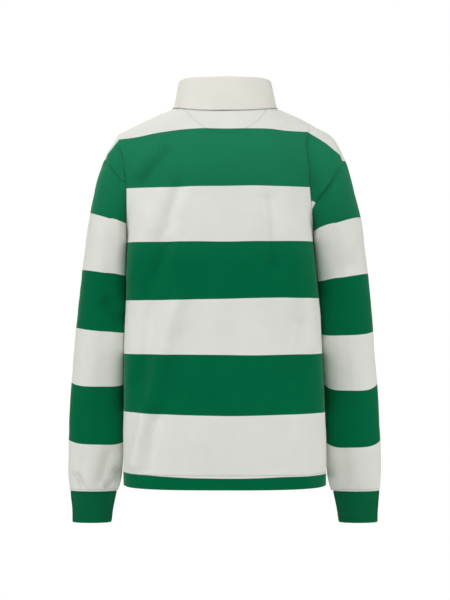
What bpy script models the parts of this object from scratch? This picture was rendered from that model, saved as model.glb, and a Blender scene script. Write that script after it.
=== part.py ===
"""A long-sleeved rugby polo shirt, filled out as it hangs on a wearer who isn't there.

Metres, +Z up. The front of the shirt faces -Y, and +X is the wearer's left. The origin is the middle
of the neck, level with the tops of the shoulders, where the wearer's shoulders carry the shirt.
Each cut piece is a wall of cloth worked out from the sections below: "side" is +1 for the wearer's left
and -1 for the right, and "face" is +1 for the back of the shirt and -1 for the front.
"""

import math

import bpy
import numpy as np
from mathutils.bvhtree import BVHTree

# ---- cloth
JERSEY = 0.0016  # wall of the heavy jersey, of which the body and sleeves are cut
RIB = 0.0024  # the cuffs are two layers of rib knit
TWILL = 0.0020  # the collar is two layers of woven twill
PLACKET_WALL = 0.0018
FACING_WALL = 0.0010  # half-moon facing inside the back neck
SEAM_GAP = 0.0003
HEM_DEPTH = 0.020  # the hem is turned up once, so the wall is thicker there
HEM_TURN = 0.0010  # how much thicker

# ---- lengths
HEM_Z = -0.6625
ARMPIT_Z = -0.224
CUFF_TOP_Z = -0.6778
CUFF_BOTTOM_Z = -0.7325
HEM_ROW = HEM_DEPTH / (ARMPIT_Z - HEM_Z)  # the top of the turned hem, as panel_points reads rows
HEM_STEP_ROW = 1.06 * HEM_ROW  # where the step in from the hem's thicker wall ends

# ---- neck
NECK_HALF_WIDTH = 0.080
NECK_BACK = 0.058
NECK_FRONT = 0.066
NECK_SIDE_Z = -0.003
NECK_BACK_DROP = 0.009
NECK_FRONT_DROP = 0.077
NECK_CURVE = 1.8  # above 1 keeps the neck seam high at the sides and drops it towards the middle
SHOULDER_CROWN = 0.0032  # how far the shoulder line rises above a straight one
NECK_SHARE = 0.46  # share of a panel's half width that the neckline takes at its top edge

# ---- how the body's sections are shaped
SIDE_Y = 0.006  # the side seams lie just behind the origin
ROUNDNESS = 2.5  # superellipse exponent of the sections below the armpits
CHEST_POWER = 2.5  # how the panels round off towards the armholes
NAPE_ROUNDNESS, SHOULDER_ROUNDNESS = 1.5, 2.0
NAPE_SHARE, SHOULDER_SHARE = 0.2, 0.7  # shares of the half width where each of those two begins to hold


def table(columns, *rows):
    """A table with named columns, one row for each section or fold."""
    return dict(zip(columns.split(), np.array(rows).T))


# The body's sections from the hem up: half widths at the wearer's left and right side seams, and how far
# the middle of the back and of the front lie from the origin.
BODY = table(
    "z left right back front",
    (-0.6625, 0.1758, 0.1752, 0.122, 0.121),
    (-0.5980, 0.1768, 0.1757, 0.120, 0.119),
    (-0.5150, 0.1756, 0.1728, 0.115, 0.116),
    (-0.4300, 0.1748, 0.1680, 0.110, 0.115),
    (-0.3460, 0.1738, 0.1640, 0.109, 0.117),
    (-0.2630, 0.1730, 0.1558, 0.113, 0.121),
    (-0.2240, 0.1715, 0.1525, 0.116, 0.122),
    (-0.1340, 0.1715, 0.1525, 0.118, 0.117),
)

# The sleeves' sections from the armhole down. Each is an ellipse that spans from an outer to an inner
# point, as seen from behind, and reaches half_depth to the front and the back of centre_y.
SLEEVE_COLUMNS = "down outer_x outer_z inner_x inner_z centre_y half_depth"
SLEEVE = {
    1: table(
        SLEEVE_COLUMNS,
        (0.000, 0.1860, -0.052, 0.1715, -0.224, 0.000, 0.062),
        (0.035, 0.2065, -0.085, 0.1722, -0.231, -0.002, 0.066),
        (0.072, 0.2185, -0.117, 0.1725, -0.239, -0.005, 0.068),
        (0.112, 0.2285, -0.155, 0.1725, -0.249, -0.009, 0.068),
        (0.160, 0.2380, -0.200, 0.1725, -0.264, -0.014, 0.0655),
        (0.220, 0.2468, -0.260, 0.1725, -0.297, -0.021, 0.0615),
        (0.300, 0.2567, -0.340, 0.1725, -0.357, -0.029, 0.056),
        (0.385, 0.2648, -0.425, 0.1735, -0.441, -0.035, 0.051),
        (0.476, 0.2725, -0.516, 0.1768, -0.524, -0.042, 0.046),
        (0.563, 0.2760, -0.603, 0.1803, -0.605, -0.048, 0.041),
        (0.614, 0.2762, -0.654, 0.1845, -0.655, -0.052, 0.037),
        (0.637, 0.2740, -0.6774, 0.1905, -0.6774, -0.054, 0.032),
    ),
    -1: table(
        SLEEVE_COLUMNS,
        (0.000, 0.1500, -0.034, 0.1525, -0.224, 0.000, 0.062),
        (0.035, 0.1870, -0.053, 0.1530, -0.231, -0.002, 0.067),
        (0.078, 0.2110, -0.094, 0.1535, -0.239, -0.005, 0.070),
        (0.118, 0.2238, -0.137, 0.1545, -0.250, -0.009, 0.069),
        (0.175, 0.2378, -0.200, 0.1565, -0.266, -0.014, 0.066),
        (0.230, 0.2460, -0.260, 0.1595, -0.298, -0.021, 0.0615),
        (0.305, 0.2557, -0.340, 0.1635, -0.357, -0.029, 0.056),
        (0.388, 0.2625, -0.425, 0.1690, -0.441, -0.035, 0.051),
        (0.477, 0.2698, -0.516, 0.1748, -0.524, -0.042, 0.046),
        (0.563, 0.2745, -0.603, 0.1785, -0.605, -0.048, 0.041),
        (0.614, 0.2748, -0.654, 0.1832, -0.655, -0.052, 0.037),
        (0.637, 0.2727, -0.6774, 0.1885, -0.6774, -0.054, 0.032),
    ),
}
ARMHOLE_BOW = {1: 0.012, -1: 0.026}  # how far the upper armhole seam curves in towards the neck
BOW_LENGTH = 0.070  # how far down the sleeve that curve has died away
CUFF_COLUMNS = "z outer_x inner_x centre_y half_depth"
CUFF = table(
    CUFF_COLUMNS,
    (CUFF_BOTTOM_Z, 0.2695, 0.2030, -0.0600, 0.0240),
    (-0.7040, 0.2702, 0.1985, -0.0575, 0.0262),
    (CUFF_TOP_Z, 0.2728, 0.1925, -0.0545, 0.0300),
)

# The folds, each a soft ridge (depth above 0) or trough (below 0) along a straight stretch. They are
# placed as seen from behind, with x to the wearer's left. A fold fades out over its width all round.
STILL_SIDE, STILL_TOP = 0.12, 0.3  # the folds die away this near a panel's side edges and top edge
STILL_CAP, STILL_TURN = 0.020, 0.5  # and this near a sleeve's armhole seam and its underarm and outer lines
FOLD_COLUMNS = "x0 z0 x1 z1 width depth"
BACK_FOLDS = table(
    FOLD_COLUMNS,
    (0.112, -0.066, 0.154, -0.112, 0.013, 0.0035),
    (0.098, -0.082, 0.142, -0.134, 0.013, -0.0040),
    (0.079, -0.152, 0.116, -0.234, 0.016, -0.0050),
    (0.128, -0.190, 0.156, -0.300, 0.015, 0.0035),
    (0.102, -0.243, 0.130, -0.325, 0.016, -0.0040),
    (0.078, -0.325, 0.114, -0.427, 0.016, 0.0050),
    (0.114, -0.427, 0.129, -0.510, 0.015, 0.0060),
    (0.132, -0.360, 0.152, -0.480, 0.014, -0.0045),
    (0.131, -0.530, 0.156, -0.630, 0.014, 0.0060),
    (0.112, -0.560, 0.132, -0.630, 0.015, -0.0045),
    (-0.074, -0.175, -0.088, -0.270, 0.016, -0.0040),
    (-0.108, -0.160, -0.134, -0.330, 0.018, 0.0035),
    (-0.128, -0.400, -0.112, -0.470, 0.018, -0.0035),
    (-0.120, -0.540, -0.134, -0.640, 0.022, 0.0045),
    (0.020, -0.520, 0.030, -0.640, 0.030, -0.0035),
)
FRONT_FOLDS = table(
    FOLD_COLUMNS,
    (0.120, -0.100, 0.150, -0.160, 0.014, 0.0040),
    (0.100, -0.115, 0.138, -0.190, 0.015, -0.0045),
    (-0.100, -0.095, -0.128, -0.150, 0.014, 0.0040),
    (-0.078, -0.110, -0.118, -0.190, 0.015, -0.0045),
    (0.088, -0.260, 0.118, -0.400, 0.018, -0.0045),
    (0.118, -0.420, 0.098, -0.620, 0.018, 0.0060),
    (0.052, -0.400, 0.046, -0.600, 0.022, -0.0050),
    (-0.072, -0.280, -0.100, -0.430, 0.018, 0.0050),
    (-0.112, -0.380, -0.096, -0.560, 0.018, -0.0045),
    (-0.060, -0.520, -0.072, -0.640, 0.022, 0.0055),
    (-0.012, -0.440, -0.018, -0.620, 0.024, -0.0040),
)
# Sleeve folds are the same, seen from behind or the front as the face column says, with x outwards.
SLEEVE_FOLD_COLUMNS = "face x0 z0 x1 z1 width depth"
SLEEVE_FOLDS = {
    1: table(
        SLEEVE_FOLD_COLUMNS,
        (1, 0.214, -0.098, 0.180, -0.134, 0.010, -0.0060),
        (1, 0.207, -0.086, 0.184, -0.104, 0.010, 0.0035),
        (1, 0.186, -0.370, 0.202, -0.352, 0.012, -0.0045),
        (1, 0.194, -0.615, 0.206, -0.660, 0.011, -0.0045),
        (1, 0.254, -0.625, 0.250, -0.660, 0.009, -0.0035),
        (-1, 0.210, -0.104, 0.184, -0.150, 0.012, -0.0060),
        (-1, 0.190, -0.300, 0.222, -0.275, 0.014, -0.0050),
        (-1, 0.196, -0.335, 0.230, -0.320, 0.014, 0.0040),
        (-1, 0.208, -0.610, 0.214, -0.660, 0.011, -0.0040),
        (-1, 0.244, -0.620, 0.240, -0.660, 0.010, -0.0040),
    ),
    -1: table(
        SLEEVE_FOLD_COLUMNS,
        (1, 0.205, -0.104, 0.158, -0.176, 0.011, -0.0080),
        (1, 0.196, -0.096, 0.158, -0.150, 0.012, 0.0035),
        (1, 0.168, -0.298, 0.190, -0.314, 0.011, -0.0055),
        (1, 0.178, -0.455, 0.198, -0.480, 0.014, -0.0045),
        (1, 0.192, -0.615, 0.204, -0.660, 0.011, -0.0045),
        (-1, 0.204, -0.104, 0.164, -0.164, 0.012, -0.0060),
        (-1, 0.178, -0.300, 0.214, -0.278, 0.014, -0.0050),
        (-1, 0.186, -0.335, 0.226, -0.322, 0.014, 0.0040),
        (-1, 0.206, -0.610, 0.212, -0.660, 0.011, -0.0040),
    ),
}

# The collar's sections round the neck, in degrees: 0 at the wearer's left, 90 at the back. The stand
# leans in as it rises and rolls over into the fall, which flares out. slant carries the fall's edge
# along the neckline, towards the collar's points.
COLLAR_END = 87.0  # degrees in front of the wearer's left side, where the collar's front edge is
COLLAR_ROLL = 0.0022
ROLL_BENDS = (130, 90, 50)  # degrees
STEEP_GAP = 4  # how many more seam gaps the stand keeps where the neckline runs steeply down in front
STEEP_FROM, STEEP_TO = 0.1, 0.4  # the neckline's slopes between which that grows
COLLAR_COLUMNS = "angle stand lean fall flare slant"
COLLAR = table(
    COLLAR_COLUMNS,
    (-87.0, 0.032, 0.10, 0.074, 36.0, 0.032),
    (-70.0, 0.033, 0.10, 0.078, 34.0, 0.028),
    (-50.0, 0.036, 0.10, 0.072, 30.0, 0.016),
    (-25.0, 0.041, 0.10, 0.058, 20.0, 0.004),
    (0.0, 0.0445, 0.10, 0.0465, 11.5, 0.000),
    (45.0, 0.0535, 0.10, 0.0535, 10.0, 0.000),
    (90.0, 0.0585, 0.10, 0.0560, 8.0, 0.000),
)

# ---- the front opening and the half-moon facing. Rows and shares are read as panel_points reads them.
SLIT_HALF_SHARE = 0.024
SLIT_BOTTOM_ROW = 1.0
PLACKET_HALF_WIDTH = 0.016
PLACKET_MARGIN = 0.001  # how much narrower the layer behind is on each side
PLACKET_TOP_ROW, PLACKET_BOTTOM_ROW = 2.97, 0.975
BUTTON_Z = (-0.092, -0.146, -0.200)
BUTTON_RADIUS, BUTTON_HEIGHT, BUTTON_DISH = 0.0060, 0.0032, 0.0008
# The button's profile, as shares of its radius and height.
BUTTON_EDGE, BUTTON_WIDEST, BUTTON_LIP, BUTTON_HOLLOW = 0.92, 0.4, 0.68, 0.55
FACING_SHARE = 0.40
FACING_TOP_ROW, FACING_BOTTOM_ROW = 2.97, 2.54
FACING_ROUND = 0.94  # 1 would bring the facing's sides to a point
CLOTH_CLEARANCE = 0.0010  # between walls that lie near each other
COLLAR_CLEARANCE = 0.0030
CLEAR_REACH = 0.030  # how far a wall may be moved to clear a panel
SQUARE_ON = 0.7  # least cosine between a panel's normal and the way to a point in front of it
CAP_GAP = 1.5 * SEAM_GAP  # between the body and the sleeve's top edge
CAP_STEP_TURN = 80  # degrees from the shoulder, by which the sleeve has moved out by the jersey's thickness

# ---- how finely the walls are cut into facets
BODY_STEPS = (14, 4, 8)  # from the hem to the armpit, to the shoulder blades, to the top edge
PANEL_HALF_STEPS = 16
CLEAR_FINENESS = 3  # how much finer the panels are that a wall is moved clear of
SLEEVE_ROWS, SLEEVE_COLUMNS_ROUND = 25, 24
SLEEVE_CROWDING = 1.35  # above 1 puts more of the sleeve's rings near the armhole
CUFF_ROWS = 3
COLLAR_STEPS = 41
STAND_ROWS, FALL_ROWS = 3, 6
BUTTON_SIDES = 16
STRIP_COLUMNS = 5
NEAR_MIDDLE, NEAR_STEPS = 0.6, 121  # the shares and steps in which a distance from the middle is looked up
SHARP_ANGLE = 50  # degrees
TINY = 1e-6
FACING_ROWS, FACING_COLUMNS = 5, 13


def smooth(low, high, value):
    """0 below low, 1 above high, and a soft step between them."""
    share = np.clip((value - low) / (high - low), 0, 1)
    return share * share * (3 - 2 * share)


def unit(vectors):
    return vectors / np.linalg.norm(vectors, axis=-1, keepdims=True)


def read(rows, column, key, at):
    """A table's column as a smooth curve through its rows, read where the key column has the value at."""
    x, y = rows[key], rows[column]
    slope = np.gradient(y, x)
    i = np.clip(np.searchsorted(x, at) - 1, 0, len(x) - 2)
    step = x[i + 1] - x[i]
    t = np.clip((at - x[i]) / step, 0, 1)
    return (
        (2 * t**3 - 3 * t**2 + 1) * y[i]
        + (t**3 - 2 * t**2 + t) * step * slope[i]
        + (3 * t**2 - 2 * t**3) * y[i + 1]
        + (t**3 - t**2) * step * slope[i + 1]
    )


def stacked(x, y, z):
    return np.stack(np.broadcast_arrays(x, y, z), axis=-1)


def folds_at(folds, x, z):
    """How far the folds move the cloth out at the places x, z."""
    moved = np.zeros(np.broadcast(x, z).shape)
    for x0, z0, x1, z1, width, depth in zip(*(folds[c] for c in FOLD_COLUMNS.split())):
        run_x, run_z = x1 - x0, z1 - z0
        share = np.clip(((x - x0) * run_x + (z - z0) * run_z) / (run_x**2 + run_z**2), 0, 1)
        away = np.hypot(x - x0 - share * run_x, z - z0 - share * run_z)
        moved += depth * np.exp(-((away / width) ** 2))
    return moved


def bow(side, turn):
    """How far the armhole seam lies in from its ellipse. turn is 0 at the shoulder."""
    return ARMHOLE_BOW[side] * np.sin(turn) ** 2 * ((1 + np.cos(turn)) / 2) ** 3


def sleeve_ring(side, turn, down):
    """Points of the sleeve at the angle turn round it, and down it from the armhole, before any folds."""
    at = {c: read(SLEEVE[side], c, "down", down) for c in SLEEVE_COLUMNS.split()[1:]}
    across = np.cos(turn) / 2
    x = (at["outer_x"] + at["inner_x"]) / 2 + across * (at["outer_x"] - at["inner_x"])
    z = (at["outer_z"] + at["inner_z"]) / 2 + across * (at["outer_z"] - at["inner_z"])
    x = x - bow(side, turn) * (1 - smooth(0, BOW_LENGTH, down))
    return stacked(side * x, at["centre_y"] + np.sin(turn) * at["half_depth"], z)


def neckline(face, from_middle):
    """The neck seam, from_middle radians from the centre back or centre front towards the wearer's left."""
    depth = NECK_BACK if face > 0 else NECK_FRONT
    drop = NECK_BACK_DROP if face > 0 else NECK_FRONT_DROP
    cos = np.cos(from_middle)
    z = NECK_SIDE_Z - drop * np.abs(cos) ** NECK_CURVE
    return stacked(NECK_HALF_WIDTH * np.sin(from_middle), face * depth * cos, z)


def top_edge(face, across):
    """A panel's top edge: along one shoulder, round the neck and along the other shoulder."""
    side, half = np.where(across < 0, -1, 1), np.abs(across)
    neck = neckline(face, np.minimum(half / NECK_SHARE, 1) * math.pi / 2)
    share = np.clip((half - NECK_SHARE) / (1 - NECK_SHARE), 0, 1)
    tip_x = np.where(side > 0, SLEEVE[1]["outer_x"][0], SLEEVE[-1]["outer_x"][0])
    tip_z = np.where(side > 0, SLEEVE[1]["outer_z"][0], SLEEVE[-1]["outer_z"][0])
    x = neck[..., 0] + share * (tip_x - neck[..., 0])
    z = neck[..., 2] + share * (tip_z - neck[..., 2]) + SHOULDER_CROWN * np.sin(share * math.pi)
    return stacked(side * x, neck[..., 1], z)


def panel_edge(face, side, row):
    """A panel's side edge: up the side seam to row 1 at the armpit, then up the armhole to row 3."""
    z = HEM_Z + np.minimum(row, 1) * (ARMPIT_Z - HEM_Z)
    seam = stacked(side * read(BODY, "left" if side > 0 else "right", "z", z), SIDE_Y, z)
    turn = face * np.clip((3 - row) / 2, 0, 1) * math.pi
    armhole = sleeve_ring(side, turn, 0.0)
    onto_armhole = np.clip(row - 1, 0, 1)[..., None]
    armhole[..., 1] += SIDE_Y * (1 - onto_armhole[..., 0])
    return np.where(row[..., None] < 1, seam, armhole)


def panel_section(face, across, row):
    """A panel's points up to row 2, level with the shoulder blades. across is -1 to 1, right to left."""
    half = np.abs(across)
    edge = np.where((across < 0)[..., None], panel_edge(face, -1, row), panel_edge(face, 1, row))
    chest_z = ARMPIT_Z + (BODY["z"][-1] - ARMPIT_Z) * np.clip(row - 1, 0, 1)
    middle_z = np.where(row < 1, edge[..., 2], chest_z)
    middle_y = face * read(BODY, "back" if face > 0 else "front", "z", middle_z)
    upper = smooth(0, 1, row - 1)
    angle = half ** (ROUNDNESS / 2) * math.pi / 2
    out = (1 - upper) * np.sin(angle) ** (2 / ROUNDNESS) + upper * half
    back = (1 - upper) * np.cos(angle) ** (2 / ROUNDNESS) + upper * (1 - half**CHEST_POWER)
    return stacked(
        edge[..., 0] * out,
        edge[..., 1] + (middle_y - edge[..., 1]) * back,
        middle_z + (edge[..., 2] - middle_z) * half**2,
    )


def panel_points(face, across, row):
    """The middle of a panel's wall. row runs from 0 at the hem to 3 at the shoulders and neck."""
    across, row = np.broadcast_arrays(across, row)
    low = panel_section(face, across, np.minimum(row, 2))
    top = top_edge(face, across)
    share = np.clip(row - 2, 0, 1) * math.pi / 2
    half = np.abs(across)
    outwards = smooth(NAPE_SHARE, SHOULDER_SHARE, half)
    roundness = NAPE_ROUNDNESS + (SHOULDER_ROUNDNESS - NAPE_ROUNDNESS) * outwards
    sin, cos = np.sin(share), np.cos(share)
    points = stacked(
        low[..., 0] + (top[..., 0] - low[..., 0]) * sin,
        top[..., 1] + (low[..., 1] - top[..., 1]) * np.maximum(cos, 0) ** (2 / roundness),
        low[..., 2] + (top[..., 2] - low[..., 2]) * sin ** (2 / roundness),
    )
    for side in (1, -1):
        turn = math.pi / 2 - share
        extra = bow(side, turn) - bow(side, math.pi / 2) * (1 - sin)
        points[..., 0] -= side * np.where(across * side > 0, extra * half**3 * (row > 2), 0)
    return points


def normals_of(points, wrapped=False):
    """Unit normals of a grid of points. A wrapped grid closes on itself across its columns."""
    if wrapped:
        along = np.roll(points, -1, axis=1) - np.roll(points, 1, axis=1)
    else:
        along = np.gradient(points, axis=1)
    return unit(np.cross(along, np.gradient(points, axis=0)))


def pulled_in(points, rows=(0, 0), columns=(0, 0)):
    """The grid with its first and last rows and columns drawn in by these distances, to leave seam gaps."""
    made = points.copy()
    for edge, inner, distance in (
        (np.s_[0], np.s_[1], rows[0]),
        (np.s_[-1], np.s_[-2], rows[1]),
        (np.s_[:, 0], np.s_[:, 1], columns[0]),
        (np.s_[:, -1], np.s_[:, -2], columns[1]),
    ):
        made[edge] += unit(points[inner] - points[edge]) * distance
    return made


def tree_of(points):
    """A search tree of the faces between a grid's points."""
    rows, columns = points.shape[:2]
    quads = [
        (r * columns + c, r * columns + c + 1, (r + 1) * columns + c + 1, (r + 1) * columns + c)
        for r in range(rows - 1)
        for c in range(columns - 1)
    ]
    return BVHTree.FromPolygons([tuple(p) for p in points.reshape(-1, 3)], quads)


def clear_of(points, trees, distance):
    """The points, moved out wherever they lie behind a panel or nearer to it than distance."""
    made = points.reshape(-1, 3).copy()
    for tree in trees:
        for i, point in enumerate(made):
            spot, normal, _, away = tree.find_nearest(tuple(point), CLEAR_REACH)
            if spot is None:
                continue
            offset = point - np.array(spot)
            height = offset @ np.array(normal)
            if height < distance and abs(height) > away * SQUARE_ON:
                made[i] = np.array(spot) + np.array(normal) * distance
            elif 0 < away < distance:
                made[i] = np.array(spot) + offset * (distance / away)
    return made.reshape(points.shape)


# ---- making objects


def material(name, colour, roughness):
    made = bpy.data.materials.new(name)
    made.use_nodes = True
    shader = made.node_tree.nodes["Principled BSDF"]
    shader.inputs["Base Color"].default_value = (*colour, 1)
    shader.inputs["Roughness"].default_value = roughness
    return made


def add_object(name, points, faces, finish):
    mesh = bpy.data.meshes.new(name)
    mesh.from_pydata([tuple(p) for p in points], [], faces)
    mesh.validate()
    mesh.shade_smooth()
    mesh.set_sharp_from_angle(angle=math.radians(SHARP_ANGLE))
    mesh.materials.append(finish)
    made = bpy.data.objects.new(name, mesh)
    bpy.context.scene.collection.objects.link(made)
    return made


def wall(name, points, normals, outside, inside, finish, wrapped=False, cells=None):
    """A closed wall round a grid of points. outside and inside are how far it reaches along the normals.
    cells is False where a cell between four points is left out."""
    rows, columns = points.shape[:2]
    outer = points + normals * np.broadcast_to(outside, (rows, columns))[..., None]
    inner = points - normals * np.broadcast_to(inside, (rows, columns))[..., None]
    vertices = np.concatenate([outer.reshape(-1, 3), inner.reshape(-1, 3)])
    across = columns if wrapped else columns - 1
    if cells is None:
        cells = np.ones((rows - 1, across), bool)

    def at(corner, layer):
        return layer * rows * columns + corner[0] * columns + corner[1] % columns

    def filled(r, c):
        c = c % across if wrapped else c
        return 0 <= r < rows - 1 and 0 <= c < across and cells[r, c]

    faces = []
    for r, c in zip(*np.nonzero(cells)):
        corners = [(r, c), (r, c + 1), (r + 1, c + 1), (r + 1, c)]
        faces.append([at(p, 0) for p in corners])
        faces.append([at(p, 1) for p in reversed(corners)])
        beside = [(r - 1, c), (r, c + 1), (r + 1, c), (r, c - 1)]
        for k, cell in enumerate(beside):
            if not filled(*cell):
                start, end = corners[k], corners[(k + 1) % 4]
                faces.append([at(end, 0), at(start, 0), at(start, 1), at(end, 1)])
    used = sorted({i for face in faces for i in face})
    place = {old: new for new, old in enumerate(used)}
    return add_object(name, vertices[used], [[place[i] for i in face] for face in faces], finish)


# ---- the pieces


class Panel:
    """The front or the back of the body: the middle of its wall, with the folds in, and its normals."""

    def __init__(self, face, finer=1):
        low, middle, high = (steps * finer for steps in BODY_STEPS)
        self.face = face
        self.row = np.unique(np.concatenate([
            [0, HEM_ROW, HEM_STEP_ROW],
            np.linspace(0, 1, low + 1)[1:],
            1 + np.linspace(0, 1, middle + 1)[1:],
            2 + np.linspace(0, 1, high + 1)[1:],
        ]))
        half = np.linspace(1, 0, PANEL_HALF_STEPS * finer + 1)
        centre = [0] if face > 0 else [SLIT_HALF_SHARE, -SLIT_HALF_SHARE]
        self.across = np.concatenate([half[:-1], centre, -half[-2::-1]]) * face
        self.points = panel_points(face, self.across[None, :], self.row[:, None])
        normals = normals_of(self.points)
        folds = BACK_FOLDS if face > 0 else FRONT_FOLDS
        from_side, from_top = 1 - np.abs(self.across), (3 - self.row)[:, None]
        inside = smooth(0, STILL_SIDE, from_side) * smooth(0, STILL_TOP, from_top)
        moved = folds_at(folds, self.points[..., 0], self.points[..., 2]) * inside
        self.points += normals * moved[..., None]
        self.normals = normals_of(self.points)

    def at(self, across, row):
        """Points and normals on the panel's facets."""
        rising = np.arange(len(self.across))[:: -self.face]
        column = np.interp(across, self.across[rising], rising)
        line = np.interp(row, self.row, np.arange(len(self.row)))
        column, line = np.broadcast_arrays(column, line)
        c = np.minimum(column.astype(int), len(self.across) - 2)
        r = np.minimum(line.astype(int), len(self.row) - 2)
        s, t = (column - c)[..., None], (line - r)[..., None]
        found = []
        for grid in (self.points, self.normals):
            below = (1 - s) * grid[r, c] + s * grid[r, c + 1]
            above = (1 - s) * grid[r + 1, c] + s * grid[r + 1, c + 1]
            found.append((1 - t) * below + t * above)
        return found[0], unit(found[1])

    def at_x(self, x, row):
        """Points and normals at the distances x from the middle of each of these rows."""
        across = np.linspace(-NEAR_MIDDLE, NEAR_MIDDLE, NEAR_STEPS)
        found = [np.interp(x, self.at(across, r)[0][:, 0], across) for r in row]
        return self.at(np.array(found), row[:, None])


def share_seams(back, front):
    """Gives both panels the same normals along the shoulder and side seams, so that their walls meet."""
    pairs = [((r, e), (r, -1 - e)) for r in range(len(back.row)) if back.row[r] <= 1 for e in (0, -1)]
    last = len(back.across) - 1
    for k in np.flatnonzero(np.abs(back.across) >= NECK_SHARE):
        pairs.append(((-1, k), (-1, -1 - k if k <= last / 2 else last - k)))
    for on_back, on_front in pairs:
        shared = unit(back.normals[on_back] + front.normals[on_front])
        back.normals[on_back] = front.normals[on_front] = shared


def body_panel(name, panel, finish):
    gap = SEAM_GAP / 2
    cut = pulled_in(panel.points, rows=(0, gap), columns=(gap, gap))
    turned = np.where(panel.row <= HEM_ROW + TINY, HEM_TURN, 0)[:, None]
    cells = np.ones((len(panel.row) - 1, len(panel.across) - 1), bool)
    if panel.face < 0:
        cells[panel.row[:-1] >= SLIT_BOTTOM_ROW - TINY, len(panel.across) // 2 - 1] = False
    wall(name, cut, panel.normals, JERSEY / 2, JERSEY / 2 + turned, finish, cells=cells)


def sleeve(name, side, trees, finish):
    down = SLEEVE[side]["down"][-1] * np.linspace(0, 1, SLEEVE_ROWS) ** SLEEVE_CROWDING
    turn = np.linspace(0, 2 * math.pi, SLEEVE_COLUMNS_ROUND, endpoint=False) * side
    points = sleeve_ring(side, turn[None, :], down[:, None])
    from_shoulder = np.abs(np.angle(np.exp(1j * turn)))
    points[0, :, 0] += side * (CAP_GAP + JERSEY * smooth(0, math.radians(CAP_STEP_TURN), from_shoulder))
    normals = -normals_of(points, wrapped=True)
    for face in (1, -1):
        folds = {c: v[SLEEVE_FOLDS[side]["face"] == face] for c, v in SLEEVE_FOLDS[side].items()}
        moved = folds_at(folds, side * points[..., 0], points[..., 2])
        facing = smooth(0, STILL_TURN, face * np.sin(turn) * side)
        below_cap = smooth(0, STILL_CAP, down)[:, None]
        points += normals * (moved * facing * below_cap)[..., None]
    points[1:] = clear_of(points[1:], trees, JERSEY + CLOTH_CLEARANCE)
    points = points[::-1]
    wall(name, points, normals_of(points, wrapped=True), JERSEY / 2, JERSEY / 2, finish, wrapped=True)


def cuff(name, side, finish):
    z = np.linspace(CUFF_BOTTOM_Z, CUFF_TOP_Z, CUFF_ROWS)[:, None]
    at = {c: read(CUFF, c, "z", z) for c in CUFF_COLUMNS.split()[1:]}
    turn = np.linspace(0, 2 * math.pi, SLEEVE_COLUMNS_ROUND, endpoint=False)[None, :] * side
    x = (at["outer_x"] + at["inner_x"]) / 2 + np.cos(turn) * (at["outer_x"] - at["inner_x"]) / 2
    points = stacked(side * x, at["centre_y"] + np.sin(turn) * at["half_depth"], z)
    wall(name, points, normals_of(points, wrapped=True), RIB / 2, RIB / 2, finish, wrapped=True)


def collar(name, trees, finish):
    """Rows go up the stand, over the roll and down the fall, and columns go round the neck."""
    angle = np.linspace(-COLLAR_END, 180 + COLLAR_END, COLLAR_STEPS)
    mirrored = np.where(angle > 90, 180 - angle, angle)
    at = {c: read(COLLAR, c, "angle", mirrored)[:, None] for c in COLLAR_COLUMNS.split()[1:]}
    side = np.where(angle > 90, -1, 1)[:, None]
    base = np.where(
        (mirrored >= 0)[:, None],
        neckline(1, np.radians(90 - mirrored)),
        neckline(-1, np.radians(90 + mirrored)),
    )
    base[:, 0] *= side[:, 0]
    along = unit(np.gradient(base, axis=0))
    up = np.array((0, 0, 1))
    out = unit(np.cross(along, up))
    steep = np.abs(along[:, 2:])
    gap = SEAM_GAP * (1 + STEEP_GAP * smooth(STEEP_FROM, STEEP_TO, steep))
    foot = (JERSEY / 2 + gap) / np.sqrt(1 - steep**2)
    rows = []
    for share in np.linspace(0, 1, STAND_ROWS):
        height = foot + share * (at["stand"] - COLLAR_ROLL - foot)
        rows.append(base + up * height - out * at["lean"] * height)
    centre = rows[-1] + out * COLLAR_ROLL
    for bend in np.radians(ROLL_BENDS):
        rows.append(centre + out * COLLAR_ROLL * math.cos(bend) + up * COLLAR_ROLL * math.sin(bend))
    flare = np.radians(at["flare"])
    down = out * np.sin(flare) - up * np.cos(flare)
    for share in np.linspace(0, 1, FALL_ROWS):
        forward = along * side * at["slant"] * share
        rows.append(centre + out * COLLAR_ROLL + down * at["fall"] * share + forward)
    points = np.array(rows)
    clearance = (JERSEY + TWILL) / 2 + COLLAR_CLEARANCE
    points[1 - FALL_ROWS:] = clear_of(points[1 - FALL_ROWS:], trees, clearance)
    wall(name, points, normals_of(points), TWILL / 2, TWILL / 2, finish)


def placket_strip(name, front, side, finish):
    """One layer of the placket. side is 1 for the one outside the front panel and -1 for the one behind."""
    between = front.row[(front.row > PLACKET_BOTTOM_ROW) & (front.row < PLACKET_TOP_ROW)]
    row = np.concatenate([[PLACKET_BOTTOM_ROW], between, [PLACKET_TOP_ROW]])
    half_width = PLACKET_HALF_WIDTH if side > 0 else PLACKET_HALF_WIDTH - PLACKET_MARGIN
    points, normals = front.at_x(np.linspace(-half_width, half_width, STRIP_COLUMNS), row)
    near, far = JERSEY / 2 + SEAM_GAP, JERSEY / 2 + SEAM_GAP + PLACKET_WALL
    if side > 0:
        wall(name, points, normals, far, -near, finish)
    else:
        wall(name, points, normals, -near, far, finish)


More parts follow.
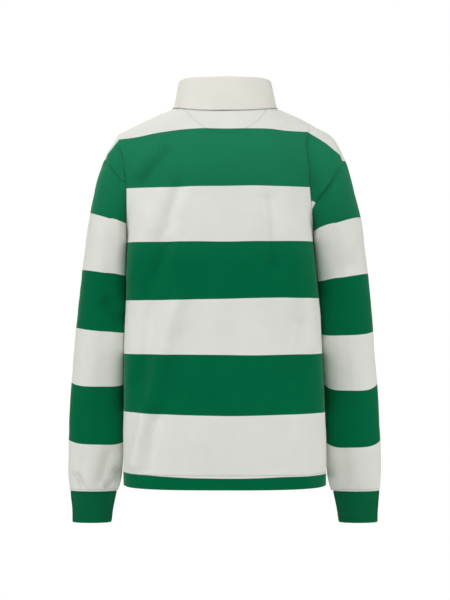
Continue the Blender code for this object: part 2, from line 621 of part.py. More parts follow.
def button(name, front, z, finish):
    """A round button with a dished face, lying on the placket."""
    middle_z = front.at(0.0, front.row)[0][:, 2]
    point, normal = front.at(0.0, np.interp(z, middle_z, front.row))
    across = unit(np.cross((0, 0, 1), normal))
    up = np.cross(normal, across)
    foot = JERSEY / 2 + PLACKET_WALL + 3 * SEAM_GAP
    edge, face = BUTTON_RADIUS * BUTTON_EDGE, foot + BUTTON_HEIGHT
    profile = (
        (edge, foot),
        (BUTTON_RADIUS, foot + BUTTON_HEIGHT * BUTTON_WIDEST),
        (edge, face),
        (BUTTON_RADIUS * BUTTON_LIP, face),
        (BUTTON_RADIUS * BUTTON_HOLLOW, face - BUTTON_DISH),
    )
    turn = np.linspace(0, 2 * math.pi, BUTTON_SIDES, endpoint=False)[:, None]
    circle = across * np.cos(turn) + up * np.sin(turn)
    vertices = np.concatenate([point + normal * height + circle * radius for radius, height in profile])
    faces = [list(range(BUTTON_SIDES))[::-1]]
    for ring in range(len(profile) - 1):
        for k in range(BUTTON_SIDES):
            low, after = ring * BUTTON_SIDES, (k + 1) % BUTTON_SIDES
            faces.append([low + k, low + after, low + after + BUTTON_SIDES, low + k + BUTTON_SIDES])
    faces.append(list(range(len(vertices) - BUTTON_SIDES, len(vertices))))
    add_object(name, vertices, faces, finish)


def neck_facing(name, back, finish):
    """The half-moon facing behind the back panel, as wide and deep as its line of stitching shows."""
    share = np.linspace(1, -1, FACING_COLUMNS)[None, :]
    depth = np.linspace(1, 0, FACING_ROWS)[:, None]
    half_moon = np.sqrt(1 - FACING_ROUND * share**2)
    row = FACING_TOP_ROW - depth * half_moon * (FACING_TOP_ROW - FACING_BOTTOM_ROW)
    points, normals = back.at(share * FACING_SHARE, row)
    near = JERSEY / 2 + SEAM_GAP
    wall(name, points, normals, -near, near + FACING_WALL, finish)


def build():
    for old in list(bpy.data.objects):
        bpy.data.objects.remove(old, do_unlink=True)
    jersey = material("striped_jersey", (0.10, 0.33, 0.19), 0.85)
    rib = material("green_rib", (0.01, 0.12, 0.055), 0.9)
    twill = material("ecru_twill", (0.76, 0.74, 0.69), 0.8)
    rubber = material("button_rubber", (0.80, 0.79, 0.74), 0.5)
    back, front = Panel(1), Panel(-1)
    share_seams(back, front)
    trees = [tree_of(Panel(face, CLEAR_FINENESS).points) for face in (1, -1)]
    body_panel("back_panel", back, jersey)
    body_panel("front_panel", front, jersey)
    for side, word in ((1, "left"), (-1, "right")):
        sleeve(f"sleeve_{word}", side, trees, jersey)
        cuff(f"cuff_{word}", side, rib)
    collar("collar", trees, twill)
    placket_strip("placket_upper", front, 1, twill)
    placket_strip("placket_under", front, -1, twill)
    for number, z in enumerate(BUTTON_Z, start=1):
        button(f"button_{number}", front, z, rubber)
    neck_facing("neck_facing", back, twill)


build()
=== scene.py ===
"""The looks of a long-sleeved rugby polo shirt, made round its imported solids.

Metres, +Z up. The front faces -Y and +X is the wearer's left. "side" is +1 for the wearer's left and -1 for
the right, and "face" is +1 for the back of the shirt and -1 for the front. Each cloth is a thin closed shell
on the form of its solid, whose sections are repeated here, with finer steps, smaller folds and sewn edges.
"""

import math

import bmesh
import bpy
import numpy as np
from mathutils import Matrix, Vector, noise
from mathutils.interpolate import poly_3d_calc
from mathutils.bvhtree import BVHTree


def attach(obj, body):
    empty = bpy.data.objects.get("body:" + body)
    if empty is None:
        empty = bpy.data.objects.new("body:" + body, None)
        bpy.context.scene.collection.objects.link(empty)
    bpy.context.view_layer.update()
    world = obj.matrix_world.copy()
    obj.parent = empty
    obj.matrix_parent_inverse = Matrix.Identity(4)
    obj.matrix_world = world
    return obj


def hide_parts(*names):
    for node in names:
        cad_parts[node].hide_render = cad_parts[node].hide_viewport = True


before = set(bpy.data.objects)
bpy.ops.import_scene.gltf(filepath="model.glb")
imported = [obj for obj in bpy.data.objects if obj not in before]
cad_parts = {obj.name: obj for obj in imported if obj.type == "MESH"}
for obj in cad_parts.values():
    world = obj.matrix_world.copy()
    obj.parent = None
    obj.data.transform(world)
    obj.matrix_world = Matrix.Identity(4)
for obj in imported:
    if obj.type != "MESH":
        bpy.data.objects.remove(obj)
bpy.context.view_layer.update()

# ---- cloth
JERSEY, RIB, TWILL, PLACKET_WALL, FACING_WALL = 0.0016, 0.0024, 0.0020, 0.0018, 0.0010
SEAM_GAP = 0.0003
HEM_DEPTH, HEM_TURN = 0.020, 0.0010  # the hem's height, and how much thicker it is
HEM_STITCH_UP = 0.0240  # the line of stitching shows just above the green
CUFF_STITCH_UP = 0.0036
ON_TOP = 0.0002  # how far thread lies over the cloth

# ---- lengths of the body and the neck
HEM_Z = -0.6625
ARMPIT_Z = -0.224
BODY_LENGTH = ARMPIT_Z - HEM_Z
NECK_HALF_WIDTH = 0.080
NECK_BACK = 0.058
NECK_FRONT = 0.066
NECK_SIDE_Z = -0.003
NECK_BACK_DROP = 0.009
NECK_FRONT_DROP = 0.077
NECK_CURVE = 1.8  # above 1 keeps the neck seam high at the sides and drops it towards the middle
SHOULDER_CROWN = 0.0016  # how far the shoulder line rises above a straight one
NECK_SHARE = 0.46  # share of a panel's half width that the neckline takes at its top edge
SIDE_Y = 0.006  # the side seams lie just behind the origin
ROUNDNESS = {1: 2.9, -1: 2.5}  # superellipse exponents of the back's and front's sections
CHEST_POWER = 2.5  # how the panels round off towards the armholes
NAPE_ROUNDNESS, SHOULDER_ROUNDNESS = 1.5, 2.0
NAPE_SHARE, SHOULDER_SHARE = 0.2, 0.7

PLAIN = {"face", "turn", "angle", "lean", "flare", "along"}  # columns of signs, degrees or shares


def table(columns, rows):
    """A table with named columns, one row for each section or fold. Its lengths are in mm."""
    columns = columns.split()
    values = np.array(rows.split(), float).reshape(-1, len(columns)).T
    return {c: v if c in PLAIN else v / 1000 for c, v in zip(columns, values)}


# The body's sections from the hem up: half widths at the left and right side seams, and how far the middle
# of the back and of the front lie from the origin.
BODY = table("z left right back front", """
    -662.5 175.8 175.2 122 121
    -598 176.8 175.7 120 119
    -515 175.6 172.8 115 116
    -430 174.8 168 110 115
    -346 172.2 164 109 117
    -263 170.2 155.8 113 121
    -224 169.5 152.5 116 122
    -134 169.5 152.5 118 117
""")

# The sleeves' sections from the armhole down, each an ellipse from an outer to an inner point.
SLEEVE_COLUMNS = "down outer_x outer_z inner_x inner_z centre_y half_depth"
SLEEVE = {1: table(SLEEVE_COLUMNS, """
    0 186 -52 169.5 -224 0 62
    35 206 -85 169.8 -231 -2 66
    72 218.5 -117 170 -239 -5 68
    112 228.5 -155 170 -249 -9 68
    160 238 -200 170 -264 -14 65.5
    220 246.8 -260 170 -297 -21 61.5
    300 256 -340 171.2 -357 -29 56
    385 264.8 -425 173.5 -441 -35 51
    476 272.5 -516 176.8 -524 -42 46
    563 276 -603 180.3 -605 -48 41
    614 276.2 -654 184.5 -655 -52 37
    637 274 -676 190.5 -676 -54 32
"""), -1: table(SLEEVE_COLUMNS, """
    0 150 -34 152.5 -224 0 62
    35 185 -54 153 -231 -2 67
    78 209.2 -95 153.5 -239 -5 70
    118 222.6 -137 154.5 -250 -9 69
    175 237.8 -200 156.5 -266 -14 66
    230 246 -260 159.5 -298 -21 61.5
    305 255.7 -340 163.5 -357 -29 56
    388 262.5 -425 169 -441 -35 51
    477 269.8 -516 174.8 -524 -42 46
    563 274.5 -603 178.5 -605 -48 41
    614 274.8 -654 183.2 -655 -52 37
    637 272.7 -676 188.5 -676 -54 32
""")}
ARMHOLE_BOW = {1: 0.012, -1: 0.026}  # how far the upper armhole seam curves in towards the neck
BOW_LENGTH = 0.070  # how far down the sleeve that dies out
# How much further in the armhole seam lies, at angles in degrees from the shoulder down to the armpit.
SEAM_IN = {1: table("turn inward", """
    0 0
    24 -1.5
    40 -4
    53 0.8
    68 4.6
    92 6.2
    124 3.6
    152 1.2
    180 0
"""), -1: table("turn inward", """
    0 0
    34 0.2
    51 2.2
    78 1.8
    98 3.6
    112 3.2
    131 1.8
    160 0.3
    180 0
""")}
# How much fuller than an ellipse a sleeve is where it lies against the body, and where that starts and holds.
BACK_SQUARENESS, SQUARENESS = 1.7, 0.9
SQUARE_FROM_END = (0.02, 0.12)
CUFF = table("z outer_x inner_x centre_y half_depth", """
    -732.5 269.5 203 -60 24
    -704 270.2 198.5 -57.5 26.2
    -676.4 272.8 192.5 -54.5 30
""")
CUFF_BOTTOM_Z, CUFF_TOP_Z = CUFF["z"][[0, -1]]

# The folds: soft ridges (depth above 0) and troughs along straight stretches, as seen from behind.
FOLD_COLUMNS = "x0 z0 x1 z1 width depth"
BACK_FOLDS = table(FOLD_COLUMNS, """
    112 -70 152 -116 11 5.9
    97 -86 142 -140 10 -6.8
    77 -145 94 -195 11 -6
    92 -205 110 -240 12 -5.2
    112 -160 128 -215 14 4.6
    128 -190 156 -300 15 4.6
    100 -245 130 -330 13 -7.5
    83 -250 80 -320 14 4.6
    77 -335 104 -418 12 8.8
    104 -425 125 -524 12 9.7
    128 -350 146 -480 13 -7.5
    135 -530 153 -620 11 8.8
    118 -540 132 -630 13 -6.8
    62 -400 85 -500 18 -3.3
    -74 -170 -84 -280 13 -6.2
    -100 -150 -122 -330 18 4.9
    -126 -380 -112 -470 15 -5.9
    -140 -340 -146 -420 12 5.2
    -120 -540 -134 -640 18 6.8
    20 -520 30 -640 26 -4.6
""")
FRONT_FOLDS = table(FOLD_COLUMNS, """
    120 -100 150 -160 14 4
    100 -115 138 -190 15 -4.5
    -100 -95 -128 -150 14 4
    -78 -110 -118 -190 15 -4.5
    88 -260 118 -400 18 -4.5
    118 -420 98 -620 18 6
    52 -400 46 -600 22 -5
    -72 -280 -100 -430 18 5
    -112 -380 -96 -560 18 -4.5
    -60 -520 -72 -640 22 5.5
    -12 -440 -18 -620 24 -4
""")
STILL_SIDE, STILL_TOP = 0.12, 0.3  # no folds this near a panel's side and top edges
STILL_CAP, STILL_TURN = 0.020, 0.5  # nor this near a sleeve's armhole seam and its underarm and outer lines
SLEEVE_FOLD_COLUMNS = "face x0 z0 x1 z1 width depth"
SLEEVE_FOLDS = {1: table(SLEEVE_FOLD_COLUMNS, """
    1 214 -98 180 -134 10 -6
    1 207 -86 184 -104 10 3.5
    1 184 -372 204 -348 11 -7.5
    1 182 -392 206 -372 12 3.5
    1 190 -640 208 -662 8 -5
    1 204 -610 216 -655 11 -4.5
    1 254 -625 250 -660 9 -3.5
    -1 210 -104 184 -150 12 -6
    -1 190 -300 222 -275 14 -5
    -1 196 -335 230 -320 14 4
    -1 208 -610 214 -660 11 -4
    -1 244 -620 240 -660 10 -4
"""), -1: table(SLEEVE_FOLD_COLUMNS, """
    1 205 -104 158 -176 11 -8
    1 196 -96 158 -150 12 3.5
    1 168 -298 190 -314 11 -5.5
    1 178 -455 198 -480 14 -4.5
    1 192 -615 204 -660 11 -4.5
    -1 204 -104 164 -164 12 -6
    -1 178 -300 214 -278 14 -5
    -1 186 -335 226 -322 14 4
    -1 206 -610 212 -660 11 -4
""")}

# Smaller creases than the solids have. They are sharper than the folds and lie between and across them.
BACK_CREASES = table(FOLD_COLUMNS, """
    150 -108 162 -140 5 -1.2
    86 -240 98 -262 7 -1.2
    134 -300 142 -345 6 -1.2
    150 -420 160 -470 7 1.4
""")
FRONT_CREASES = table(FOLD_COLUMNS, """
    30 -260 60 -300 8 -1.2
    -40 -250 -60 -300 8 -1.2
""")
SLEEVE_CREASES = {1: table(SLEEVE_FOLD_COLUMNS, """
    1 204 -120 190 -136 4 -1.8
    1 178 -124 172 -136 4 -1.5
    1 266.5 -648 259 -668 4 -4.8
    1 263 -642 254 -668 3.5 3
    1 257.5 -646 249 -668 3.8 -4.6
    1 253.5 -640 243 -666 4.5 3
    1 190.5 -650 208.5 -668 3.8 -4.6
    1 196 -644 215 -664 4.5 2.8
    -1 200 -126 184 -144 5 -1.8
"""), -1: table(SLEEVE_FOLD_COLUMNS, """
    1 203 -101 160 -168 4.5 -2.2
    1 262 -646 251 -668 4 -4.4
    1 256 -642 245 -666 4.5 2.8
    1 196 -646 207 -668 4 -4.2
    1 184 -466 174 -482 5 -3.4
    1 180 -482 172 -494 4 -2.4
    -1 196 -120 176 -148 5 -1.8
""")}

# Lapped folds of the sleeves: where the cloth above hangs over the cloth below. Their lower edges run along
# these lines. reach is how far up they blend in, and rise is how far they stand out.
LAP_COLUMNS = "along x z reach rise"
LAPS = {(1, 1): table(LAP_COLUMNS, """
    0 206.2 -98.5 5 0.4
    0.12 204 -102 9 1.6
    0.33 195.4 -111.3 14 2.6
    0.58 186.7 -121.6 17 3
    0.8 179.8 -130.3 16 2.8
    1 171.2 -137.5 10 1.6
"""), (-1, 1): table(LAP_COLUMNS, """
    0 205.2 -99 4 0.4
    0.08 201 -104.5 10 1.6
    0.22 190.2 -118.2 18 2.8
    0.5 174.6 -144.1 24 3.4
    0.73 160.8 -163.1 22 3.4
    0.9 152.2 -180.4 16 2.6
    1 148 -189 10 1.4
"""), (1, -1): table(LAP_COLUMNS, """
    0 208 -106 5 0.4
    0.3 198.5 -120 14 2.2
    0.65 186 -137 18 2.6
    1 173.5 -152 10 1.2
"""), (-1, -1): table(LAP_COLUMNS, """
    0 202 -110 5 0.4
    0.3 189 -128 16 2.4
    0.65 173 -150 18 2.6
    1 156 -168 10 1.2
""")}
LAP_LIP = 0.0016  # how deep the rounded edge is
LIP_SHARES = (0, 0.03, 0.1, 0.25, 0.5, 0.75, 1.0)  # the rows in it
LAP_STEPS = 16  # the rows above it
LAP_FROM_SEAM = 0.0050
LAP_FLOOR = 0.0009  # how far the lap goes down into the sleeve's wall
TINY = 1e-5  # keeps rows that end at the armhole seam apart
# The right sleeve's fold shows a corner of the next hoop, which starts at this line.
PEEPING_HOOP = (0.1487, -0.1669, -0.56)  # x, z and slope

# The collar's sections round the neck, from an end at the centre front over the side at 0 to the back at 90
# degrees: heights of the stand and the fall, how far they lean and flare, and how the fall's edge slants.
COLLAR_END = 87.0
COLLAR_ROLL = 0.0022  # radius of the fold
STEEP_GAP = 4  # how many more seam gaps the stand keeps where the neckline runs steeply down in front
STEEP_FROM, STEEP_TO = 0.1, 0.4
COLLAR = table("angle stand lean fall flare slant", """
    -87 32 0.1 74 36 32
    -70 33 0.1 78 34 28
    -50 36 0.1 72 30 16
    -25 41 0.1 58 20 4
    0 44.5 0.1 46.5 11.5 0
    45 53.5 0.1 53.5 10 0
    90 58.5 0.1 56 8 0
""")

# The placket's slit, its two strips, the buttons on it, and the facing inside the back neck.
SLIT_HALF_SHARE = 0.024
SLIT_BOTTOM_ROW = 1.0
PLACKET_HALF_WIDTH = 0.016
PLACKET_MARGIN = 0.001
PLACKET_TOP_ROW, PLACKET_BOTTOM_ROW = 2.97, 0.975
BUTTON_Z = (-0.092, -0.146, -0.200)
FACING_SHARE = 0.40
FACING_TOP_ROW, FACING_BOTTOM_ROW = 2.97, 2.54
FACING_ROUND = 0.94
CLOTH_CLEARANCE, COLLAR_CLEARANCE = 0.0010, 0.0012  # between walls that lie near each other
CLEAR_REACH = 0.030  # how far a wall may be moved to clear a panel
SQUARE_ON = 0.7  # how straight behind a panel a point lies, at least, to be moved out through it

# ---- how finely the cloth is cut, and its sewn edges
STEP = 0.0045
SLEEVE_COLUMN_COUNT = 92
EDGE_STEPS = np.array((0, 0.7, 1.6, 2.8, 4.3, 6.2, 8.6, 11.8)) / 1000
HEM_STEPS = np.array((0, 1.2, 3, 5.5, 9, 13, 16.5, 19.5, 21.5, 22.8, 23.5, 24, 24.6, 25.6, 27.4, 30)) / 1000
SLEEVE_END_STEPS = np.array((11, 8.5, 6.5, 5, 3.8, 2.8, 1.8, 0.8, 0)) / 1000
PANEL_HALF_ARC = 0.25  # what 1 means in metres, as "across" is read near a panel's side edges
TOP_ARC = 0.13  # the same for a row between the shoulder blades and the shoulders
SEAM_SINK, SEAM_WIDTH = 0.0004, 0.0022  # a seam lies in a soft valley
STITCH_SINK, STITCH_WIDTH = 0.0005, 0.0011  # and so does a row of stitches
ALLOWANCE_RISE, ALLOWANCE_FROM, ALLOWANCE_WIDTH = 0.0010, 0.0042, 0.0030  # over the turned seam allowance
TUCK_IN, TUCK_UNDER, TUCK_LENGTH = 0.0030, 0.0022, 0.0050  # the sleeve goes under the body at the armhole
TUCK_TURN = (8, 50)  # but lies flush with it over the shoulder
TUCK_FREE = 0.012  # and from here on it is kept clear of the body
RIB_PITCH = 0.0021  # of the ribs in the cuffs' mesh
EASE_FROM_SIDE = 0.070  # the body is evened out level with the armpits from the side edges to this far in
HEM_LIFT, HEM_LIFT_ROW = 0.0024, 0.12  # the hem rises a little at the side seams
PUCKER, PUCKER_LENGTH, PUCKER_REACH = 0.00045, 0.011, 0.014  # ripples that the sewing draws up beside it

# ---- hoops: heights of the boundaries, counted down from the white yoke. Odd hoops are green.
HOOP = 0.0965  # the hoops' height in the flat cloth
YOKE_LINE = table("x z", """
    -144 -48.3
    -130 -48.5
    -103 -48.2
    -78 -45.6
    -43 -45.4
    0 -46.1
    43 -45.3
    78 -47.5
    103 -50.6
    129 -54.5
    146 -57.7
    163 -59.8
    184 -61.3
""")
BODY_HOOPS = table("x first second third fourth fifth sixth", """
    -155 -144.9 -238.2 -336.4 -432.2 -534 -640.3
    -100 -145.3 -238.6 -335.4 -432.9 -535.2 -641.1
    -50 -144.4 -238.9 -336.1 -433.8 -536.5 -642.8
    0 -145.4 -239.9 -337.5 -433.1 -537.2 -643.3
    50 -145.6 -239.3 -338.3 -432.7 -536.2 -642.8
    100 -147 -239.8 -339.5 -432.4 -534.7 -640.6
    165 -147 -239.9 -340.2 -432.4 -532.2 -638.2
""")
CAP_HOOP = {1: table("x z", """
    150 -12
    183.8 -61.3
    194.8 -75.1
    203.6 -87.1
    206.1 -94.1
    216 -99
"""), -1: table("x z", """
    120 -30
    144 -48.5
    174.7 -68
    187.3 -78.5
    200 -88
    203.6 -97.5
    216 -97
""")}
SLEEVE_HOOPS = {1: table("outer inner sag", """
    -187.2 -210 -0.3
    -287 -299.3 1.1
    -388.1 -397.2 -1.3
    -484.7 -484.5 -6
    -586.2 -588.5 -5.5
    -680 -680 0
"""), -1: table("outer inner sag", """
    -195.2 -223.3 2.7
    -293 -308 0.4
    -394.9 -398.3 -4.3
    -487 -485 -11.7
    -586.8 -588.6 -10.5
    -680 -680 0
""")}

# ---- the photograph's frame
EYE = (0.0, 4.2, -0.3395)
HALF_HEIGHT = 0.525  # of what the frame takes in, level with the origin


# ---- small sums


def unit(vectors):
    return vectors / np.linalg.norm(vectors, axis=-1, keepdims=True)


def smooth(low, high, value):
    """0 below low, 1 above high, and a soft step between them."""
    share = np.clip((value - low) / (high - low), 0, 1)
    return share * share * (3 - 2 * share)


def bell(value, width):
    """1 at 0, falling away on both sides over about this width."""
    return np.exp(-((value / width) ** 2))


def read(rows, column, at):
    """A table's column as a smooth curve through its rows, read where the first column has the value at."""
    x, y = next(iter(rows.values())), rows[column]
    slope = np.gradient(y, x)
    i = np.clip(np.searchsorted(x, at) - 1, 0, len(x) - 2)
    step = x[i + 1] - x[i]
    t = np.clip((at - x[i]) / step, 0, 1)
    return (
        (2 * t**3 - 3 * t**2 + 1) * y[i]
        + (t**3 - 2 * t**2 + t) * step * slope[i]
        + (3 * t**2 - 2 * t**3) * y[i + 1]
        + (t**3 - t**2) * step * slope[i + 1]
    )


def section(rows, at):
    """All of a table's columns but the first, read like that."""
    return {column: read(rows, column, at) for column in list(rows)[1:]}


def stacked(x, y, z):
    return np.stack(np.broadcast_arrays(x, y, z), axis=-1)


def folds_at(folds, x, z):
    """How far the folds move the cloth out at the places x, z. Where two overlap they blend, not add up."""
    ridge, trough = np.zeros((2, *np.broadcast(x, z).shape))
    for x0, z0, x1, z1, width, depth in zip(*(folds[column] for column in FOLD_COLUMNS.split())):
        run_x, run_z = x1 - x0, z1 - z0
        share = np.clip(((x - x0) * run_x + (z - z0) * run_z) / (run_x**2 + run_z**2), 0, 1)
        away = np.hypot(x - x0 - share * run_x, z - z0 - share * run_z)
        form = (abs(depth) * bell(away, width)) ** 3
        if depth > 0:
            ridge += form
        else:
            trough += form
    return np.cbrt(ridge) - np.cbrt(trough)


def rumple(points, size, seed):
    """Even, unrepeating unevenness from -1 to 1, with lumps of about this size."""
    shift = Vector((seed * 7.3, seed * 3.1, seed * 5.7))
    flat = points.reshape(-1, 3) / size
    return np.array([noise.noise(Vector(p) + shift) for p in flat]).reshape(points.shape[:-1])


EASE_ROUNDS = 40


def eased(points, kept, axis):
    """The points, evened out along the grid's columns (axis 0) or rows (axis 1) where kept is under 1."""
    made = points.copy()
    line = np.moveaxis(made, axis, 0)
    move = 0.5 * (1 - np.moveaxis(np.broadcast_to(kept, points.shape), axis, 0)[1:-1])
    for _ in range(EASE_ROUNDS):
        line[1:-1] += ((line[:-2] + line[2:]) / 2 - line[1:-1]) * move
    return made


def moved_by(points, normals, distance):
    return points + normals * distance[..., None]


def length_along(points, axis):
    """Distance run along the grid's rows (axis 0) or columns (axis 1), from the first one."""
    step = np.linalg.norm(np.diff(points, axis=axis), axis=-1)
    return np.concatenate([np.zeros_like(np.take(step, [0], axis)), np.cumsum(step, axis=axis)], axis=axis)


# ---- the surfaces, as the solids have them


def bow(side, turn):
    """How far the armhole seam lies in from its ellipse. turn is 0 at the shoulder."""
    degrees = np.degrees(np.arccos(np.clip(np.cos(turn), -1, 1)))
    inward = read(SEAM_IN[side], "inward", degrees)
    return ARMHOLE_BOW[side] * np.sin(turn) ** 2 * ((1 + np.cos(turn)) / 2) ** 3 + inward


def sleeve_ring(side, turn, down):
    """Points of the sleeve at the angle turn round it, and down it from the armhole, before any folds."""
    at = section(SLEEVE[side], down)
    up = SLEEVE[side]["down"][-1] - down
    fuller = np.where(np.sin(turn) * side > 0, BACK_SQUARENESS, SQUARENESS)
    fuller = fuller * smooth(*SQUARE_FROM_END, down) * smooth(*SQUARE_FROM_END, up)
    cos, sin = np.cos(turn), np.sin(turn)
    power = np.where(cos < 0, 2 / (2 + fuller), 1)
    sin = np.sign(sin) * np.abs(sin) ** power
    across = np.sign(cos) * np.abs(cos) ** power / 2
    x = (at["outer_x"] + at["inner_x"]) / 2 + across * (at["outer_x"] - at["inner_x"])
    z = (at["outer_z"] + at["inner_z"]) / 2 + across * (at["outer_z"] - at["inner_z"])
    x = x - bow(side, turn) * (1 - smooth(0, BOW_LENGTH, down))
    return stacked(side * x, at["centre_y"] + sin * at["half_depth"], z)


def neckline(face, from_middle):
    """The neck seam, from_middle radians from the centre back or front towards the wearer's left."""
    depth, drop = (NECK_BACK, NECK_BACK_DROP) if face > 0 else (NECK_FRONT, NECK_FRONT_DROP)
    cos = np.cos(from_middle)
    z = NECK_SIDE_Z - drop * np.abs(cos) ** NECK_CURVE
    return stacked(NECK_HALF_WIDTH * np.sin(from_middle), face * depth * cos, z)


def top_edge(face, across):
    """A panel's top edge: along one shoulder, round the neck and along the other shoulder."""
    side, half = np.where(across < 0, -1, 1), np.abs(across)
    neck = neckline(face, np.minimum(half / NECK_SHARE, 1) * math.pi / 2)
    share = np.clip((half - NECK_SHARE) / (1 - NECK_SHARE), 0, 1)
    tip_x, tip_z = (np.where(side > 0, SLEEVE[1][c][0], SLEEVE[-1][c][0]) for c in ("outer_x", "outer_z"))
    x = neck[..., 0] + share * (tip_x - neck[..., 0])
    z = neck[..., 2] + share * (tip_z - neck[..., 2]) + SHOULDER_CROWN * np.sin(share * math.pi)
    return stacked(side * x, neck[..., 1], z)


def panel_edge(face, side, row):
    """A panel's side edge: up the side seam to row 1 at the armpit, then up the armhole to row 3."""
    z = HEM_Z + np.minimum(row, 1) * BODY_LENGTH
    seam = stacked(side * read(BODY, "left" if side > 0 else "right", z), SIDE_Y, z)
    turn = face * np.clip((3 - row) / 2, 0, 1) * math.pi
    armhole = sleeve_ring(side, turn, 0.0)
    armhole[..., 1] += SIDE_Y * (1 - np.clip(row - 1, 0, 1))
    return np.where(row[..., None] < 1, seam, armhole)


def panel_section(face, across, row):
    """A panel's points up to row 2, level with the shoulder blades. across is -1 to 1, right to left."""
    half = np.abs(across)
    edge = np.where((across < 0)[..., None], panel_edge(face, -1, row), panel_edge(face, 1, row))
    chest_z = ARMPIT_Z + (BODY["z"][-1] - ARMPIT_Z) * np.clip(row - 1, 0, 1)
    middle_z = np.where(row < 1, edge[..., 2], chest_z)
    middle_y = face * read(BODY, "back" if face > 0 else "front", middle_z)
    upper = smooth(0, 1, row - 1)
    roundness = ROUNDNESS[face]
    angle = half ** (roundness / 2) * math.pi / 2
    out = (1 - upper) * np.sin(angle) ** (2 / roundness) + upper * half
    back = (1 - upper) * np.cos(angle) ** (2 / roundness) + upper * (1 - half**CHEST_POWER)
    return stacked(
        edge[..., 0] * out,
        edge[..., 1] + (middle_y - edge[..., 1]) * back,
        middle_z + (edge[..., 2] - middle_z) * half**2,
    )


def panel_points(face, across, row):
    """The middle of a panel's wall. row runs from 0 at the hem to 3 at the shoulders and neck."""
    across, row = np.broadcast_arrays(across, row)
    low = panel_section(face, across, np.minimum(row, 2))
    top = top_edge(face, across)
    share = np.clip(row - 2, 0, 1) * math.pi / 2
    half = np.abs(across)
    outwards = smooth(NAPE_SHARE, SHOULDER_SHARE, half)
    roundness = NAPE_ROUNDNESS + (SHOULDER_ROUNDNESS - NAPE_ROUNDNESS) * outwards
    sin, cos = np.sin(share), np.cos(share)
    points = stacked(
        low[..., 0] + (top[..., 0] - low[..., 0]) * sin,
        top[..., 1] + (low[..., 1] - top[..., 1]) * np.maximum(cos, 0) ** (2 / roundness),
        low[..., 2] + (top[..., 2] - low[..., 2]) * sin ** (2 / roundness),
    )
    for side in (1, -1):
        turn = math.pi / 2 - share
        extra = bow(side, turn) - bow(side, math.pi / 2) * (1 - sin)
        points[..., 0] -= side * np.where(across * side > 0, extra * half**3 * (row > 2), 0)
    return points


def normals_of(points, wrapped=False):
    """Unit normals of a grid of points. A wrapped grid closes on itself across its columns."""
    if wrapped:
        along = np.roll(points, -1, axis=1) - np.roll(points, 1, axis=1)
    else:
        along = np.gradient(points, axis=1)
    return unit(np.cross(along, np.gradient(points, axis=0)))


def tree_of(points):
    """A search tree of the faces between a grid's points."""
    rows, columns = points.shape[:2]
    r, c = np.mgrid[: rows - 1, : columns - 1].reshape(2, -1)
    low = r * columns + c
    quads = np.stack([low, low + 1, low + columns + 1, low + columns], axis=1)
    return BVHTree.FromPolygons(points.reshape(-1, 3).tolist(), quads.tolist())


def clear_of(points, trees, distance):
    """The points, moved out wherever they lie behind a panel or nearer to it than distance."""
    made = points.reshape(-1, 3).copy()
    for tree in trees:
        for i, point in enumerate(made):
            spot, normal, _, away = tree.find_nearest(tuple(point), CLEAR_REACH)
            if spot is None:
                continue
            offset = point - np.array(spot)
            height = offset @ np.array(normal)
            if height < distance and abs(height) > away * SQUARE_ON:
                made[i] = np.array(spot) + np.array(normal) * distance
            elif 0 < away < distance:
                made[i] = np.array(spot) + offset * (distance / away)
    return made.reshape(points.shape)


# ---- finishes


def linear(hex_colour):
    """An sRGB hex colour as linear red, green, blue and alpha."""
    parts = [int(hex_colour[i : i + 2], 16) / 255 for i in (1, 3, 5)]
    return (*((p / 12.92 if p <= 0.04045 else ((p + 0.055) / 1.055) ** 2.4) for p in parts), 1.0)


def add_node(tree, kind, settings=None, links=None):
    """A new node. settings are its own properties and its inputs' values. links feed its inputs, each from a
    socket or from a node's first output."""
    made = tree.nodes.new(kind)
    for key, value in (settings or {}).items():
        if isinstance(key, str) and hasattr(made, key):
            setattr(made, key, value)
        else:
            made.inputs[key].default_value = value
    for key, source in (links or {}).items():
        socket = source if isinstance(source, bpy.types.NodeSocket) else source.outputs[0]
        tree.links.new(socket, made.inputs[key])
    return made


MATH = "ShaderNodeMath"


def blank(name, roughness, ior, sheen=0.0, sheen_roughness=0.5, sheen_tint="#FFFFFF", specular=0.5):
    """A new material, its tree, its shader and where a point is."""
    made = bpy.data.materials.new(name)
    made.use_nodes = True
    shader = made.node_tree.nodes["Principled BSDF"]
    shader.inputs["Specular IOR Level"].default_value = specular
    shader.inputs["Roughness"].default_value = roughness
    shader.inputs["IOR"].default_value = ior
    shader.inputs["Sheen Weight"].default_value = sheen
    shader.inputs["Sheen Roughness"].default_value = sheen_roughness
    shader.inputs["Sheen Tint"].default_value = linear(sheen_tint)
    return made, made.node_tree, shader, add_node(made.node_tree, "ShaderNodeNewGeometry")


def uneven(tree, place, size, low, high, detail=2.0):
    """Noise with lumps of about this size in metres, spread over low to high."""
    kind = {"Scale": 1 / size, "Detail": detail, "Roughness": 0.55}
    lumps = add_node(tree, "ShaderNodeTexNoise", kind, {"Vector": place})
    spread = {"From Min": 0.3, "From Max": 0.7, "To Min": low, "To Max": high}
    return add_node(tree, "ShaderNodeMapRange", spread, {"Value": lumps})


def cloth_grid(tree):
    """How far round the cloth and up it a point is, in metres."""
    grid = add_node(tree, "ShaderNodeUVMap", {"uv_map": "cloth"})
    parts = add_node(tree, "ShaderNodeSeparateXYZ", links={0: grid})
    return parts.outputs["X"], parts.outputs["Y"]


